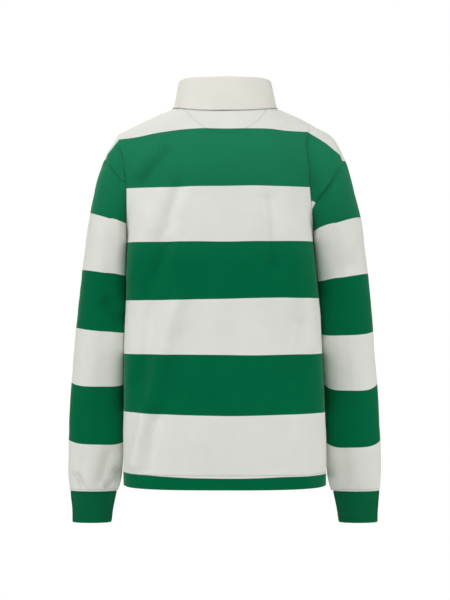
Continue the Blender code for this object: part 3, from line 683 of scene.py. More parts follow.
def dress(tree, shader, base, shades, reliefs=(), roughness=None):
    """What each material ends with: its colour, a hex one or a socket, times all its shades, then its reliefs,
    each a height, a strength and a depth in metres, and its roughness."""
    shade = shades[0]
    for each in shades[1:]:
        shade = add_node(tree, MATH, {"operation": "MULTIPLY"}, {0: shade, 1: each})
    plain = isinstance(base, str)
    settings = {"operation": "SCALE"} | ({0: linear(base)[:3]} if plain else {})
    links = {"Scale": shade} | ({} if plain else {0: base})
    sources = {"Base Color": add_node(tree, "ShaderNodeVectorMath", settings, links)}
    under = {}
    for height, strength, depth in reliefs:
        bump = {"Strength": strength, "Distance": depth}
        under["Normal"] = sources["Normal"] = add_node(tree, "ShaderNodeBump", bump, {"Height": height} | under)
    if roughness:
        sources["Roughness"] = roughness
    for key, source in sources.items():
        tree.links.new(source.outputs[0], shader.inputs[key])


# Combed cotton single jersey, 300 g/m2, yarn-dyed in hoops and enzyme washed. The knitting gives columns of
# small V-shaped loops, the washing a slight nap that catches the light at the edges and from above, and the
# yarn a faint unevenness. The green is painted lighter over the shoulders, a painted highlight for the light
# from above. Real loops are about 0.9 mm wide, which is too fine to show, so they are drawn 2.6 mm wide.
JERSEY_GREEN = "#006741"
# a lighter green, painted over the shoulders and upper back as a painted highlight for the light from above
JERSEY_GREEN_PAINTED_LIT = "#1E7D58"
PAINTED_LIGHT_FROM, PAINTED_LIGHT_TO = -0.28, -0.07
JERSEY_WHITE = "#E9E9E3"
NAP_GREEN = "#84C8A4"
WALE, COURSE = 0.0026, 0.0022
LOOP_SLANT = 1.3


def cotton_jersey():
    made, tree, shader, place = blank("cotton_jersey_yarn_dyed", 0.92, 1.46, 0.32, 0.38, NAP_GREEN, 0.04)
    round_it, up_it = cloth_grid(tree)
    hoops = add_node(tree, MATH, {"operation": "DIVIDE", 1: -HOOP}, {0: up_it})
    hoop = add_node(tree, MATH, {"operation": "FLOOR"}, {0: hoops})
    odd = add_node(tree, MATH, {"operation": "FLOORED_MODULO", 1: 2.0}, {0: hoop})
    height = add_node(tree, "ShaderNodeSeparateXYZ", links={0: place}).outputs["Z"]
    # painted highlight: the green turns lighter with height, standing for the light from above
    painted_light_span = {"From Min": PAINTED_LIGHT_FROM, "From Max": PAINTED_LIGHT_TO}
    painted_light_share = add_node(tree, "ShaderNodeMapRange", painted_light_span, {"Value": height})
    greens = {"data_type": "RGBA", 6: linear(JERSEY_GREEN), 7: linear(JERSEY_GREEN_PAINTED_LIT)}
    green = add_node(tree, "ShaderNodeMix", greens, {0: painted_light_share}).outputs[2]
    whites = {"data_type": "RGBA", 6: linear(JERSEY_WHITE)}
    dyed = add_node(tree, "ShaderNodeMix", whites, {0: odd, 7: green}).outputs[2]
    wales = add_node(tree, MATH, {"operation": "MULTIPLY_ADD", 1: 1 / WALE, 2: 0.5}, {0: round_it})
    wale = add_node(tree, MATH, {"operation": "PINGPONG", 1: 0.5}, {0: wales})
    slant = add_node(tree, MATH, {"operation": "MULTIPLY", 1: LOOP_SLANT}, {0: wale})
    courses = add_node(tree, MATH, {"operation": "MULTIPLY_ADD", 1: 1 / COURSE}, {0: up_it, 2: slant})
    loop = add_node(tree, MATH, {"operation": "PINGPONG", 1: 0.5}, {0: courses})
    outer = add_node(tree, MATH, {"operation": "MULTIPLY", 1: 4.0}, {0: wale})
    inner = add_node(tree, MATH, {"operation": "MULTIPLY_ADD", 1: -4.0, 2: 2.2}, {0: wale})
    yarn_form = add_node(tree, MATH, {"operation": "SMOOTH_MIN", 2: 0.5}, {0: outer, 1: inner})
    stitch = add_node(tree, MATH, {"operation": "MULTIPLY"}, {0: loop, 1: yarn_form})
    yarn, wash = uneven(tree, place, 0.0035, 0.988, 1.012, 3.0), uneven(tree, place, 0.05, 0.98, 1.02)
    # painted shade: the colour is darker where the loops' relief is low, in their hollows
    hollow_shade = add_node(tree, MATH, {"operation": "MULTIPLY_ADD", 1: 0.10, 2: 0.965}, {0: stitch})
    nap, worn = uneven(tree, place, 0.0012, 0.0, 1.0, 4.0), uneven(tree, place, 0.02, 0.84, 0.93)
    reliefs = (stitch, 0.32, 0.0005), (nap, 0.2, 0.0002)
    dress(tree, shader, dyed, (yarn, wash, hollow_shade), reliefs, worn)
    return made


# Fine 1x1 rib of the same cotton with some elastane, double. Real ribs are 1.5 mm apart and are in the mesh at
# 2.1 mm; the loops on them roughen the light, and their hollows are painted darker as painted shade.
RIB_GREEN = "#086540"
RIB_COURSE = 0.0021


def cotton_rib():
    made, tree, shader, place = blank("cotton_rib_knit", 0.9, 1.46, 0.24, 0.3, NAP_GREEN, 0.05)
    courses = add_node(tree, MATH, {"operation": "DIVIDE", 1: RIB_COURSE}, {0: cloth_grid(tree)[1]})
    loops = add_node(tree, MATH, {"operation": "PINGPONG", 1: 0.5}, {0: courses})
    yarn, nap = uneven(tree, place, 0.003, 0.95, 1.05, 3.0), uneven(tree, place, 0.0011, 0.0, 1.0, 4.0)
    # painted shade: the rib is darker where its loops' relief is low
    hollow_shade = add_node(tree, MATH, {"operation": "MULTIPLY_ADD", 1: 0.08, 2: 0.98}, {0: loops})
    dress(tree, shader, RIB_GREEN, (yarn, hollow_shade), ((loops, 0.4, 0.0003), (nap, 0.3, 0.0002)))
    return made


# Unbleached cotton twill, two layers over a light interlining. Its diagonal ribs are 0.9 mm apart and drawn
# 2.2 mm apart, and the surface is smoother and a little warmer than the jersey.
TWILL_ECRU = "#E8E5DC"
TWILL_RIB = 0.0022


def cotton_twill():
    made, tree, shader, place = blank("cotton_twill_ecru", 0.85, 1.46, 0.12, 0.4, "#FFFFFF", 0.2)
    round_it, up_it = cloth_grid(tree)
    slant = add_node(tree, MATH, {"operation": "ADD"}, {0: round_it, 1: up_it})
    ribs = add_node(tree, MATH, {"operation": "DIVIDE", 1: TWILL_RIB}, {0: slant})
    rib = add_node(tree, MATH, {"operation": "PINGPONG", 1: 0.5}, {0: ribs})
    yarn, cloud = uneven(tree, place, 0.0025, 0.98, 1.02, 3.0), uneven(tree, place, 0.03, 0.985, 1.015)
    # painted shade: the twill is darker in the hollows between its diagonal ribs
    hollow_shade = add_node(tree, MATH, {"operation": "MULTIPLY_ADD", 1: 0.04, 2: 0.99}, {0: rib})
    dress(tree, shader, TWILL_ECRU, (yarn, cloud, hollow_shade), ((rib, 0.35, 0.0003), (yarn, 0.2, 0.002)))
    return made


# Moulded natural rubber, off white, with the faint grain of the mould and a soft gloss.
RUBBER_WHITE = "#E4E1D6"


def moulded_rubber():
    made, tree, shader, place = blank("moulded_rubber", 0.5, 1.52)
    cloud, gloss = uneven(tree, place, 0.002, 0.96, 1.03), uneven(tree, place, 0.0008, 0.42, 0.58)
    grain = uneven(tree, place, 0.0004, 0.0, 1.0)
    dress(tree, shader, RUBBER_WHITE, (cloud,), ((grain, 0.5, 0.00005),), gloss)
    return made


# Mercerised cotton sewing thread, 0.35 mm thick and drawn 0.6 mm: two twisted plies with a slight gloss.
def sewing_thread(name, colour):
    made, tree, shader, place = blank(name, 0.6, 1.5, 0.2, 0.4)
    waves = {"bands_direction": "DIAGONAL", "Scale": 900.0, "Distortion": 1.0}
    twist = add_node(tree, "ShaderNodeTexWave", waves, {"Vector": place}).outputs["Fac"]
    # painted shade and highlight: darker in the twist's grooves and lighter on its crests, following the bump
    painted_twist_light = add_node(tree, "ShaderNodeMapRange", {"To Min": 0.88, "To Max": 1.06}, {"Value": twist})
    dress(tree, shader, colour, (painted_twist_light,), ((twist, 0.5, 0.0001),))
    return made


# ---- making objects


def add_object(name, vertices, faces, finish, uv=None, smoothed=True):
    mesh = bpy.data.meshes.new(name)
    mesh.from_pydata(np.asarray(vertices).tolist(), [], [list(f) for f in faces])
    if uv is not None:
        layer = mesh.uv_layers.new(name="cloth")
        layer.data.foreach_set("uv", np.ravel(uv))
    if smoothed:
        mesh.shade_smooth()
    mesh.materials.append(finish)
    made = bpy.data.objects.new(name, mesh)
    bpy.context.scene.collection.objects.link(made)
    return made


# A grid's first and last rows and columns, each with the one beside it.
EDGES = [(np.s_[0], np.s_[1]), (np.s_[-1], np.s_[-2]), (np.s_[:, 0], np.s_[:, 1]), (np.s_[:, -1], np.s_[:, -2])]


def joined(piece, *others):
    """The piece, with the others' meshes added to its own."""
    every = bmesh.new()
    for each in (piece, *others):
        every.from_mesh(each.data)
    every.to_mesh(piece.data)
    every.free()
    for other in others:
        bpy.data.objects.remove(other, do_unlink=True)
    return piece


def shell(name, points, normals, outside, inside, finish, uv=None, wrapped=False, cells=None):
    """A closed shell round a grid of points, with rounded rims. outside and inside are how far it reaches along
    the normals. uv has one more column than a wrapped grid, and cells is False where a cell is left out."""
    if uv is None:
        uv = np.stack([length_along(points, 1), length_along(points, 0)], axis=-1)
    rows, columns = points.shape[:2]
    outside = np.broadcast_to(outside, (rows, columns))[..., None]
    inside = np.broadcast_to(inside, (rows, columns))[..., None]
    outer, inner = points + normals * outside, points - normals * inside
    away = np.zeros_like(points)
    for edge, beside in EDGES[: 2 if wrapped else 4]:
        away[edge] += unit(points[edge] - points[beside])
    rim = (outer + inner) / 2 + away * (outside + inside) * 0.3
    vertices = np.concatenate([outer.reshape(-1, 3), rim.reshape(-1, 3), inner.reshape(-1, 3)])
    across = columns if wrapped else columns - 1
    if cells is None:
        cells = np.ones((rows - 1, across), bool)
    layer = rows * columns

    def at(corner, level):
        return level * layer + corner[0] * columns + corner[1] % columns

    def filled(r, c):
        c = c % across if wrapped else c
        return 0 <= r < rows - 1 and 0 <= c < across and cells[r, c]

    faces, corners_uv = [], []
    for r, c in zip(*np.nonzero(cells)):
        corners = [(r, c), (r, c + 1), (r + 1, c + 1), (r + 1, c)]
        spots = [uv[p] for p in corners]
        faces += [[at(p, 0) for p in corners], [at(p, 2) for p in reversed(corners)]]
        corners_uv += [spots, spots[::-1]]
        beside = [(r - 1, c), (r, c + 1), (r + 1, c), (r, c - 1)]
        for k, cell in enumerate(beside):
            if filled(*cell):
                continue
            start, end = corners[k], corners[(k + 1) % 4]
            for low in (0, 1):
                faces.append([at(end, low), at(start, low), at(start, low + 1), at(end, low + 1)])
                corners_uv.append([uv[end], uv[start], uv[start], uv[end]])
    used = np.unique(np.array(faces))
    place = np.zeros(3 * layer, int)
    place[used] = np.arange(len(used))
    return add_object(name, vertices[used], place[np.array(faces)].tolist(), finish, corners_uv)


def sewn_line(name, path, normals, finish, stitch=0.0030, gap=0.0008, thick=0.0003, lift=0.00025):
    """A row of stitches along a path: short rounded lengths of thread that rise out of the cloth and dip in."""
    run = length_along(path, 0)
    count = max(1, int(run[-1] // (stitch + gap)))
    sides, rings = 6, 6
    angles = np.linspace(0, 2 * math.pi, sides, endpoint=False)
    vertices, faces = [], []
    for k in range(count):
        at = (k + 0.5) * run[-1] / count + np.linspace(-0.5, 0.5, rings) * stitch
        spots = np.stack([np.interp(at, run, path[:, i]) for i in range(3)], axis=1)
        up = unit(np.stack([np.interp(at, run, normals[:, i]) for i in range(3)], axis=1))
        along = unit(np.gradient(spots, axis=0))
        beside = unit(np.cross(along, up))
        bulge = np.sin(np.linspace(0.12, math.pi - 0.12, rings))
        spots = spots + up * (lift * (2 * bulge - 1))[:, None]
        width = thick * (0.45 + 0.55 * bulge)
        ring = np.cos(angles)[None, :, None] * beside[:, None] + np.sin(angles)[None, :, None] * up[:, None]
        first = len(vertices)
        vertices.extend((spots[:, None] + ring * width[:, None, None]).reshape(-1, 3))
        for r in range(rings - 1):
            for s in range(sides):
                a, b = first + r * sides + s, first + r * sides + (s + 1) % sides
                faces.append((a, b, b + sides, a + sides))
        faces.append(tuple(first + s for s in reversed(range(sides))))
        faces.append(tuple(first + (rings - 1) * sides + s for s in range(sides)))
    return add_object(name, vertices, faces, finish)


# ---- the body's panels


def panel_rows():
    """Rows as panel_points reads them: close together at the hem's stitching and at the shoulder seam."""
    low = np.arange(HEM_STEPS[-1] + STEP, BODY_LENGTH - STEP / 2, STEP)
    rows = [HEM_STEPS / BODY_LENGTH, low / BODY_LENGTH, np.linspace(1, 2, 27), np.linspace(2, 3, 44)[1:-4]]
    rows.append(3 - EDGE_STEPS[::-1] / TOP_ARC)
    return np.unique(np.round(np.concatenate(rows), 7))


def panel_columns(face):
    """Columns as panel_points reads them, close together at the side edges."""
    edge = 1 - EDGE_STEPS / PANEL_HALF_ARC
    inner = np.arange(0, edge[-1] - 0.5 * STEP / PANEL_HALF_ARC, STEP / PANEL_HALF_ARC)
    half = np.concatenate([edge, inner[:0:-1]])
    centre = [0] if face > 0 else [SLIT_HALF_SHARE, 0, -SLIT_HALF_SHARE]
    half = half[half > SLIT_HALF_SHARE + 0.006]
    return np.concatenate([half, centre, -half[::-1]]) * face


def from_side_edge(points):
    """Each point's distance along its row from the nearer side edge."""
    run = length_along(points, 1)
    return np.minimum(run, run[:, -1:] - run)


def seam_form(distance, allowance=True):
    """How far the cloth moves out at this distance from a sewn edge."""
    moved = -SEAM_SINK * bell(distance, SEAM_WIDTH)
    if allowance:
        moved = moved + ALLOWANCE_RISE * bell(distance - ALLOWANCE_FROM, ALLOWANCE_WIDTH)
    return moved


def hoop_count(z, heights):
    """How many hoops down from the first of these boundaries each height z lies."""
    count = np.zeros(z.shape)
    for k, (upper, lower) in enumerate(zip(heights, heights[1:])):
        share = (upper - z) / (upper - lower)
        count = np.where(share >= 0, k + np.clip(share, 0, 1), count)
    return count


def body_hoops(points):
    """How many hoops below the top of the yoke's a point lies."""
    x, z = points[..., 0], points[..., 2]
    yoke = read(YOKE_LINE, "z", x)
    lines = list(section(BODY_HOOPS, x).values())
    return hoop_count(z, [yoke + HOOP, yoke, *lines, lines[-1] - HOOP])


class Panel:
    """The front or the back of the body: the middle of its wall, with folds, puckers and sewn edges."""

    def __init__(self, face):
        self.face = face
        self.row, self.across = panel_rows(), panel_columns(face)
        points = panel_points(face, self.across[None, :], self.row[:, None])
        # evened out over the shoulders, and beside the armpits, where row is 1
        kept = 1 - smooth(0.02, 0.30, 3 - self.row)[:, None, None] * (self.row > 2)[:, None, None]
        points = eased(points, kept, 1)
        by_armpit = smooth(0.80, 0.92, self.row) * (1 - smooth(1.3, 1.6, self.row))
        kept = 1 - by_armpit[:, None] * smooth(0, EASE_FROM_SIDE, from_side_edge(points))
        points = eased(points, kept[..., None], 0)
        points[..., 2] += HEM_LIFT * np.abs(self.across) ** 3 * (1 - smooth(0, HEM_LIFT_ROW, self.row))[:, None]
        normals = normals_of(points)
        folds, creases = (BACK_FOLDS, BACK_CREASES) if face > 0 else (FRONT_FOLDS, FRONT_CREASES)
        from_side, from_top = 1 - np.abs(self.across), (3 - self.row)[:, None]
        inside = smooth(0, STILL_SIDE, from_side) * smooth(0, STILL_TOP, from_top)
        moved = sum(folds_at(each, points[..., 0], points[..., 2]) for each in (folds, creases)) * inside
        side_run = from_side_edge(points)
        top_run = np.minimum(from_top * TOP_ARC, 1)
        seam_row = self.row[:, None] >= 1  # the armhole, above the side seam
        low = 1 - smooth(2.55, 2.85, self.row)[:, None]  # the armhole seam goes flat over the shoulder
        moved += seam_form(side_run, allowance=False) * ~seam_row + seam_form(side_run) * seam_row * low
        on_shoulder = smooth(NECK_SHARE - 0.02, NECK_SHARE + 0.02, np.abs(self.across))
        moved += seam_form(top_run) * on_shoulder
        hem_run = (self.row * BODY_LENGTH)[:, None]
        stitched = hem_run - HEM_STITCH_UP
        moved -= STITCH_SINK * bell(stitched, STITCH_WIDTH) * (hem_run < 2 * HEM_DEPTH)
        near_sewing = np.maximum(np.exp(-side_run / PUCKER_REACH), np.exp(-np.abs(stitched) / PUCKER_REACH))
        still_edge = smooth(0, 0.006, side_run) * smooth(0, 0.006, top_run)
        moved += PUCKER * near_sewing * rumple(points, PUCKER_LENGTH, 2 + face) * smooth(0, 0.004, side_run)
        # the unevenness of washed cloth, in large and in small lumps
        soft = 0.0010 * rumple(points, 0.070, 5 + face) + 0.0004 * rumple(points, 0.026, 8 + face)
        moved += soft * still_edge
        self.points = moved_by(points, normals, moved)
        self.normals = normals_of(self.points)
        middle = np.argmin(np.abs(self.across))
        run = length_along(self.points, 1)
        self.uv = np.stack([run - run[:, middle : middle + 1], -body_hoops(self.points) * HOOP], axis=-1)

    def at(self, across, row):
        """Points and normals on the panel's facets."""
        rising = np.arange(len(self.across))[:: -self.face]
        column = np.interp(across, self.across[rising], rising)
        line = np.interp(row, self.row, np.arange(len(self.row)))
        column, line = np.broadcast_arrays(column, line)
        c = np.minimum(column.astype(int), len(self.across) - 2)
        r = np.minimum(line.astype(int), len(self.row) - 2)
        s, t = (column - c)[..., None], (line - r)[..., None]
        found = []
        for grid in (self.points, self.normals):
            below = (1 - s) * grid[r, c] + s * grid[r, c + 1]
            above = (1 - s) * grid[r + 1, c] + s * grid[r + 1, c + 1]
            found.append((1 - t) * below + t * above)
        return found[0], unit(found[1])

    def at_x(self, x, row):
        """Points and normals at the distances x from the middle of each of these rows."""
        across = np.linspace(-0.6, 0.6, 161)
        found = [np.interp(x, self.at(across, r)[0][:, 0], across) for r in row]
        return self.at(np.array(found), np.asarray(row)[:, None])


def share_seams(back, front):
    """Gives both panels the same normals along the shoulder and side seams, so that their walls meet."""
    pairs = [((r, e), (r, -1 - e)) for r in range(len(back.row)) if back.row[r] <= 1 for e in (0, -1)]
    for k in np.flatnonzero(np.abs(back.across) >= NECK_SHARE):
        pairs.append(((-1, k), (-1, int(np.argmin(np.abs(front.across - back.across[k]))))))
    for on_back, on_front in pairs:
        shared = unit(back.normals[on_back] + front.normals[on_front])
        back.normals[on_back] = front.normals[on_front] = shared


def body_cloth(name, panel, finish):
    gap = SEAM_GAP / 2
    points = panel.points.copy()
    for edge, beside in EDGES[1:]:
        points[edge] += unit(panel.points[beside] - panel.points[edge]) * gap
    turned = HEM_TURN * (1 - smooth(0.0238, 0.0252, panel.row * BODY_LENGTH))[:, None]
    cells = np.ones((len(panel.row) - 1, len(panel.across) - 1), bool)
    if panel.face < 0:
        middle = len(panel.across) // 2
        cells[panel.row[:-1] >= SLIT_BOTTOM_ROW - 1e-6, middle - 1 : middle + 1] = False
    return shell(name, points, panel.normals, JERSEY / 2, JERSEY / 2 + turned, finish, panel.uv, cells=cells)


# ---- the sleeves and cuffs


def sleeve_hoops(side, points, turn):
    """Like body_hoops, for a sleeve. turn is the angle round it of each column."""
    x, z = side * points[..., 0], points[..., 2]
    cap = np.interp(x, CAP_HOOP[side]["x"], CAP_HOOP[side]["z"])
    heights = [cap + HOOP, cap]
    across = np.cos(turn)[None, :]
    for outer, inner, sag in zip(*SLEEVE_HOOPS[side].values()):
        height = (outer + inner) / 2 + (outer - inner) / 2 * across + sag * (1 - across**4)
        heights.append(np.broadcast_to(height, z.shape))
    return hoop_count(z, heights)


def sleeve_cloth(name, side, trees, finish):
    length = SLEEVE[side]["down"][-1]
    middle = np.arange(EDGE_STEPS[-1] + STEP, length - 0.014, STEP)
    down = np.concatenate([EDGE_STEPS, middle, length - SLEEVE_END_STEPS])
    turn = np.linspace(0, 2 * math.pi, SLEEVE_COLUMN_COUNT, endpoint=False) * side
    points = sleeve_ring(side, turn[None, :], down[:, None])
    from_shoulder = np.degrees(np.arccos(np.clip(np.cos(turn), -1, 1)))
    tucked = bell(down, TUCK_LENGTH)[:, None] * smooth(*TUCK_TURN, from_shoulder)
    points[..., 0] -= side * TUCK_IN * tucked
    normals = -normals_of(points, wrapped=True)
    points = moved_by(points, normals, -TUCK_UNDER * tucked)
    for tables in (SLEEVE_FOLDS, SLEEVE_CREASES):
        for face in (1, -1):
            folds = {c: v[tables[side]["face"] == face] for c, v in tables[side].items()}
            moved = folds_at(folds, side * points[..., 0], points[..., 2])
            facing = smooth(0, STILL_TURN, face * np.sin(turn) * side)
            below_cap = smooth(0, STILL_CAP, down)[:, None]
            points = moved_by(points, normals, moved * facing * below_cap)
    up = (length - down)[:, None]
    moved = -STITCH_SINK * bell(up - 0.0032, 0.0012)
    lumps = rumple(points, 0.022, 11 + side)
    gathers = rumple(points * (1, 1, 0.35), 0.013, 14 + side)  # drawn out along the sleeve
    moved = moved + 0.0016 * gathers * np.exp(-up / 0.022) * smooth(0, 0.006, up)
    by_seam = (np.exp(-down / 0.016) * smooth(0, 0.004, down))[:, None]
    moved = moved + PUCKER * 1.6 * rumple(points, 0.012, 17 + side) * by_seam
    soft = 0.0011 * rumple(points, 0.060, 20 + side) + 0.0005 * lumps
    moved = moved + soft * smooth(0, 0.01, down)[:, None] * smooth(0, 0.01, up)
    points = moved_by(points, normals, moved)
    free = int(np.searchsorted(down, TUCK_FREE))
    points[free:] = clear_of(points[free:], trees, JERSEY + CLOTH_CLEARANCE)
    run = np.concatenate([length_along(points, 1), np.zeros((len(down), 1))], axis=1)
    run[:, -1] = run[:, -2] + np.linalg.norm(points[:, -1] - points[:, 0], axis=-1)
    hoops = sleeve_hoops(side, points, turn)
    hoops = np.concatenate([hoops, hoops[:, :1]], axis=1)
    uv = np.stack([run, -hoops * HOOP], axis=-1)
    points, uv = points[::-1], uv[::-1]
    normals = normals_of(points, wrapped=True)
    return shell(name, points, normals, JERSEY / 2, JERSEY / 2, finish, uv, wrapped=True), points


def lapped_fold(piece, side, face, finish):
    """Adds a fold's overhanging cloth to a sleeve, as a low rise on it that ends in a rounded lip."""
    mesh = piece.data
    corners = [v.co.copy() for v in mesh.vertices]
    tree = BVHTree.FromPolygons(corners, [tuple(p.vertices) for p in mesh.polygons])
    layer = mesh.uv_layers["cloth"].data
    along = np.linspace(0, 1, 64)
    x, z, reach, rise = section(LAPS[side, face], along).values()
    run = unit(np.stack([np.gradient(x), np.gradient(z)], axis=1))
    upwards = np.stack([-run[:, 1], run[:, 0]], axis=1)
    upwards *= np.sign(upwards[:, 1:])
    seam = sleeve_ring(side, np.linspace(math.pi, 0, 61), LAP_FROM_SEAM)
    points, normals, uv, outside = ([[] for _ in range(len(LIP_SHARES) + LAP_STEPS)] for _ in range(4))
    for row in range(len(points)):
        for k in range(len(along)):
            if row < len(LIP_SHARES):
                away = LAP_LIP * LIP_SHARES[row]
                share = math.sqrt(1 - (1 - LIP_SHARES[row]) ** 2)
            else:
                away = LAP_LIP + (reach[k] - LAP_LIP) * (row + 1 - len(LIP_SHARES)) / LAP_STEPS
                share = 1 - float(smooth(LAP_LIP, reach[k], away))
            high = z[k] + upwards[k, 1] * away
            at_seam = float(np.interp(high, seam[:, 2], side * seam[:, 0]))
            wide = max(x[k] + upwards[k, 0] * away, at_seam + row * TINY)
            spot, _, index, _ = tree.ray_cast(Vector((side * wide, face, high)), Vector((0, -face, 0)))
            if spot is None:
                spot, _, index, _ = tree.find_nearest(Vector((side * wide, face * 0.02, high)))
            polygon = mesh.polygons[index]
            weights = poly_3d_calc([corners[i] for i in polygon.vertices], spot)
            up = sum((mesh.vertices[i].normal * w for i, w in zip(polygon.vertices, weights)), Vector())
            flat = sum((layer[i].uv * w for i, w in zip(polygon.loop_indices, weights)), Vector((0, 0)))
            if (side, face) == (-1, 1):
                start_x, start_z, slope = PEEPING_HOOP
                over = spot.z - start_z - slope * (abs(spot.x) - start_x)
                flat.y = min(over, 0.98 * HOOP) - 2 * HOOP  # never as far as the hoop above
            for grid, value in zip((points, normals, uv, outside), (spot, up, flat, rise[k] * share - 0.0002)):
                grid[row].append(value)
    points, normals, uv, outside = (np.array(a) for a in (points, normals, uv, outside))
    normals = unit(normals)
    if np.cross(points[0, 1] - points[0, 0], points[8, 0] - points[0, 0]) @ normals[0, 0] < 0:
        points, normals, uv, outside = (a[:, ::-1] for a in (points, normals, uv, outside))
    joined(piece, shell(f"lap_{side}_{face}", points, normals, outside, LAP_FLOOR, finish, uv))


def ring_of(points, z):
    """A closed path round a sleeve at about the height z, with its outward normals."""
    row = int(np.argmin(np.abs(points[:, :, 2].mean(axis=1) - z)))
    normals = normals_of(points, wrapped=True)[row]
    path = np.concatenate([points[row], points[row][:1]])
    return path, np.concatenate([normals, normals[:1]])


def cuff_rib(name, side, finish):
    z = np.concatenate([
        CUFF_BOTTOM_Z + np.array((0, 0.0008, 0.0020, 0.004)),
        np.linspace(CUFF_BOTTOM_Z + 0.007, CUFF_TOP_Z - 0.004, 11),
        CUFF_TOP_Z - np.array((0.0022, 0.0010, 0)),
    ])[:, None]
    at = section(CUFF, z)
    ribs = 2 * round(math.pi * (0.040 + 0.030) / RIB_PITCH / 2)  # an even number round the cuff
    turn = np.linspace(0, 2 * math.pi, ribs * 4, endpoint=False)[None, :] * side
    x = (at["outer_x"] + at["inner_x"]) / 2 + np.cos(turn) * (at["outer_x"] - at["inner_x"]) / 2
    points = stacked(side * x, at["centre_y"] + np.sin(turn) * at["half_depth"], z)
    normals = normals_of(points, wrapped=True)
    ends = smooth(0, 0.003, z - CUFF_BOTTOM_Z) * smooth(0, 0.003, CUFF_TOP_Z - z)
    moved = 0.00022 * np.cos(turn * ribs) * ends + 0.0007 * rumple(points, 0.024, 30 + side) * ends
    moved = moved - 0.0006 * bell(CUFF_TOP_Z - z, 0.0025)  # drawn in where it is sewn on
    points = moved_by(points, normals, moved)
    run = length_along(points, 1)
    run = np.concatenate([run, run[:, -1:] + RIB_PITCH / 4], axis=1)
    uv = np.stack(np.broadcast_arrays(run, z), axis=-1)
    normals = normals_of(points, wrapped=True)
    return shell(name, points, normals, RIB / 2, RIB / 2, finish, uv, wrapped=True)


# ---- the collar, placket, facing and buttons


def collar_cloth(name, trees, finish):
    """Rows go up the stand, over the roll and down the fall, and columns go round the neck."""
    edge = np.array((0, 0.5, 1.2, 2.2, 3.6))  # degrees from the collar's ends
    middle = np.linspace(-COLLAR_END + 5.5, 180 + COLLAR_END - 5.5, 131)
    angle = np.concatenate([-COLLAR_END + edge, middle, 180 + COLLAR_END - edge[::-1]])
    mirrored = np.where(angle > 90, 180 - angle, angle)
    at = {column: values[:, None] for column, values in section(COLLAR, mirrored).items()}
    side = np.where(angle > 90, -1, 1)[:, None]
    base = np.where(
        (mirrored >= 0)[:, None],
        neckline(1, np.radians(90 - mirrored)),
        neckline(-1, np.radians(90 + mirrored)),
    )
    base[:, 0] *= side[:, 0]
    along = unit(np.gradient(base, axis=0))
    up = np.array((0, 0, 1))
    out = unit(np.cross(along, up))
    steep = np.abs(along[:, 2:])
    gap = SEAM_GAP * (1 + STEEP_GAP * smooth(STEEP_FROM, STEEP_TO, steep))
    foot = (JERSEY / 2 + gap) / np.sqrt(1 - steep**2)
    rows = []
    for share in np.linspace(0, 1, 9):
        height = foot + share * (at["stand"] - COLLAR_ROLL - foot)
        rows.append(base + up * height - out * at["lean"] * height)
    centre = rows[-1] + out * COLLAR_ROLL
    for bend in np.radians((155, 130, 105, 80, 55, 30)):
        rows.append(centre + out * COLLAR_ROLL * math.cos(bend) + up * COLLAR_ROLL * math.sin(bend))
    flare = np.radians(at["flare"])
    fall = out * np.sin(flare) - up * np.cos(flare)
    shares = np.concatenate([np.linspace(0, 0.93, 19), (0.955, 0.975, 0.99, 1)])
    for share in shares:
        forward = along * side * at["slant"] * share
        rows.append(centre + out * COLLAR_ROLL + fall * at["fall"] * share + forward)
    points = np.array(rows)
    normals = normals_of(points)
    on_fall = np.zeros(len(rows))
    on_fall[-len(shares):] = smooth(0, 0.15, shares) * (1 - smooth(0.9, 1, shares))
    soft = 0.0010 * rumple(points, 0.045, 41) + 0.0004 * rumple(points, 0.018, 43)
    points = moved_by(points, normals, soft * on_fall[:, None])
    fall_rows = len(shares) - 1
    clearance = (JERSEY + TWILL) / 2 + COLLAR_CLEARANCE
    points[-fall_rows:] = clear_of(points[-fall_rows:], trees, clearance)
    return shell(name, points, normals_of(points), TWILL / 2, TWILL / 2, finish)


def placket_strip(name, front, side, finish):
    """One layer of the placket. side is 1 for the one outside the front panel and -1 for the one behind."""
    row = np.concatenate([
        PLACKET_BOTTOM_ROW + np.array((0, 0.0008, 0.002, 0.004)) / BODY_LENGTH,
        np.linspace(PLACKET_BOTTOM_ROW + 0.02, PLACKET_TOP_ROW - 0.02, 60),
        PLACKET_TOP_ROW - np.array((0.01, 0)),
    ])
    half_width = PLACKET_HALF_WIDTH if side > 0 else PLACKET_HALF_WIDTH - PLACKET_MARGIN
    share = np.array((-1, -0.95, -0.86, -0.7, -0.5, -0.25, 0, 0.25, 0.5, 0.7, 0.86, 0.95, 1))
    points, normals = front.at_x(share * half_width, row)
    near = JERSEY / 2 + SEAM_GAP
    far = near + PLACKET_WALL - 0.0004 * np.abs(share)[None, :] ** 8
    return shell(name, points, normals, *((far, -near) if side > 0 else (-near, far)), finish)


def button_place(front, z):
    """Where a button's foot stands on the placket, and its axes."""
    middle_z = front.at(0.0, front.row)[0][:, 2]
    point, normal = front.at(0.0, np.interp(z, middle_z, front.row))
    across = unit(np.cross((0, 0, 1), normal))
    return point, normal, across, np.cross(normal, across)


# The button from its foot to its dished face, and its four holes.
BUTTON = table("radius height", """
    4 0
    5.3 0.2
    5.8 0.7
    6 1.4
    5.9 2.3
    5.6 2.9
    5.1 3.2
    4.5 3.1
    4.1 2.8
    3.7 2.5
    3.1 2.4
""")
HOLE_PLACES = ((1, 1), (-1, 1), (-1, -1), (1, -1))
HOLE_OUT, HOLE_DEPTH, HOLE_RADII = 0.00105, 0.0010, (0.00030, 0.00055)


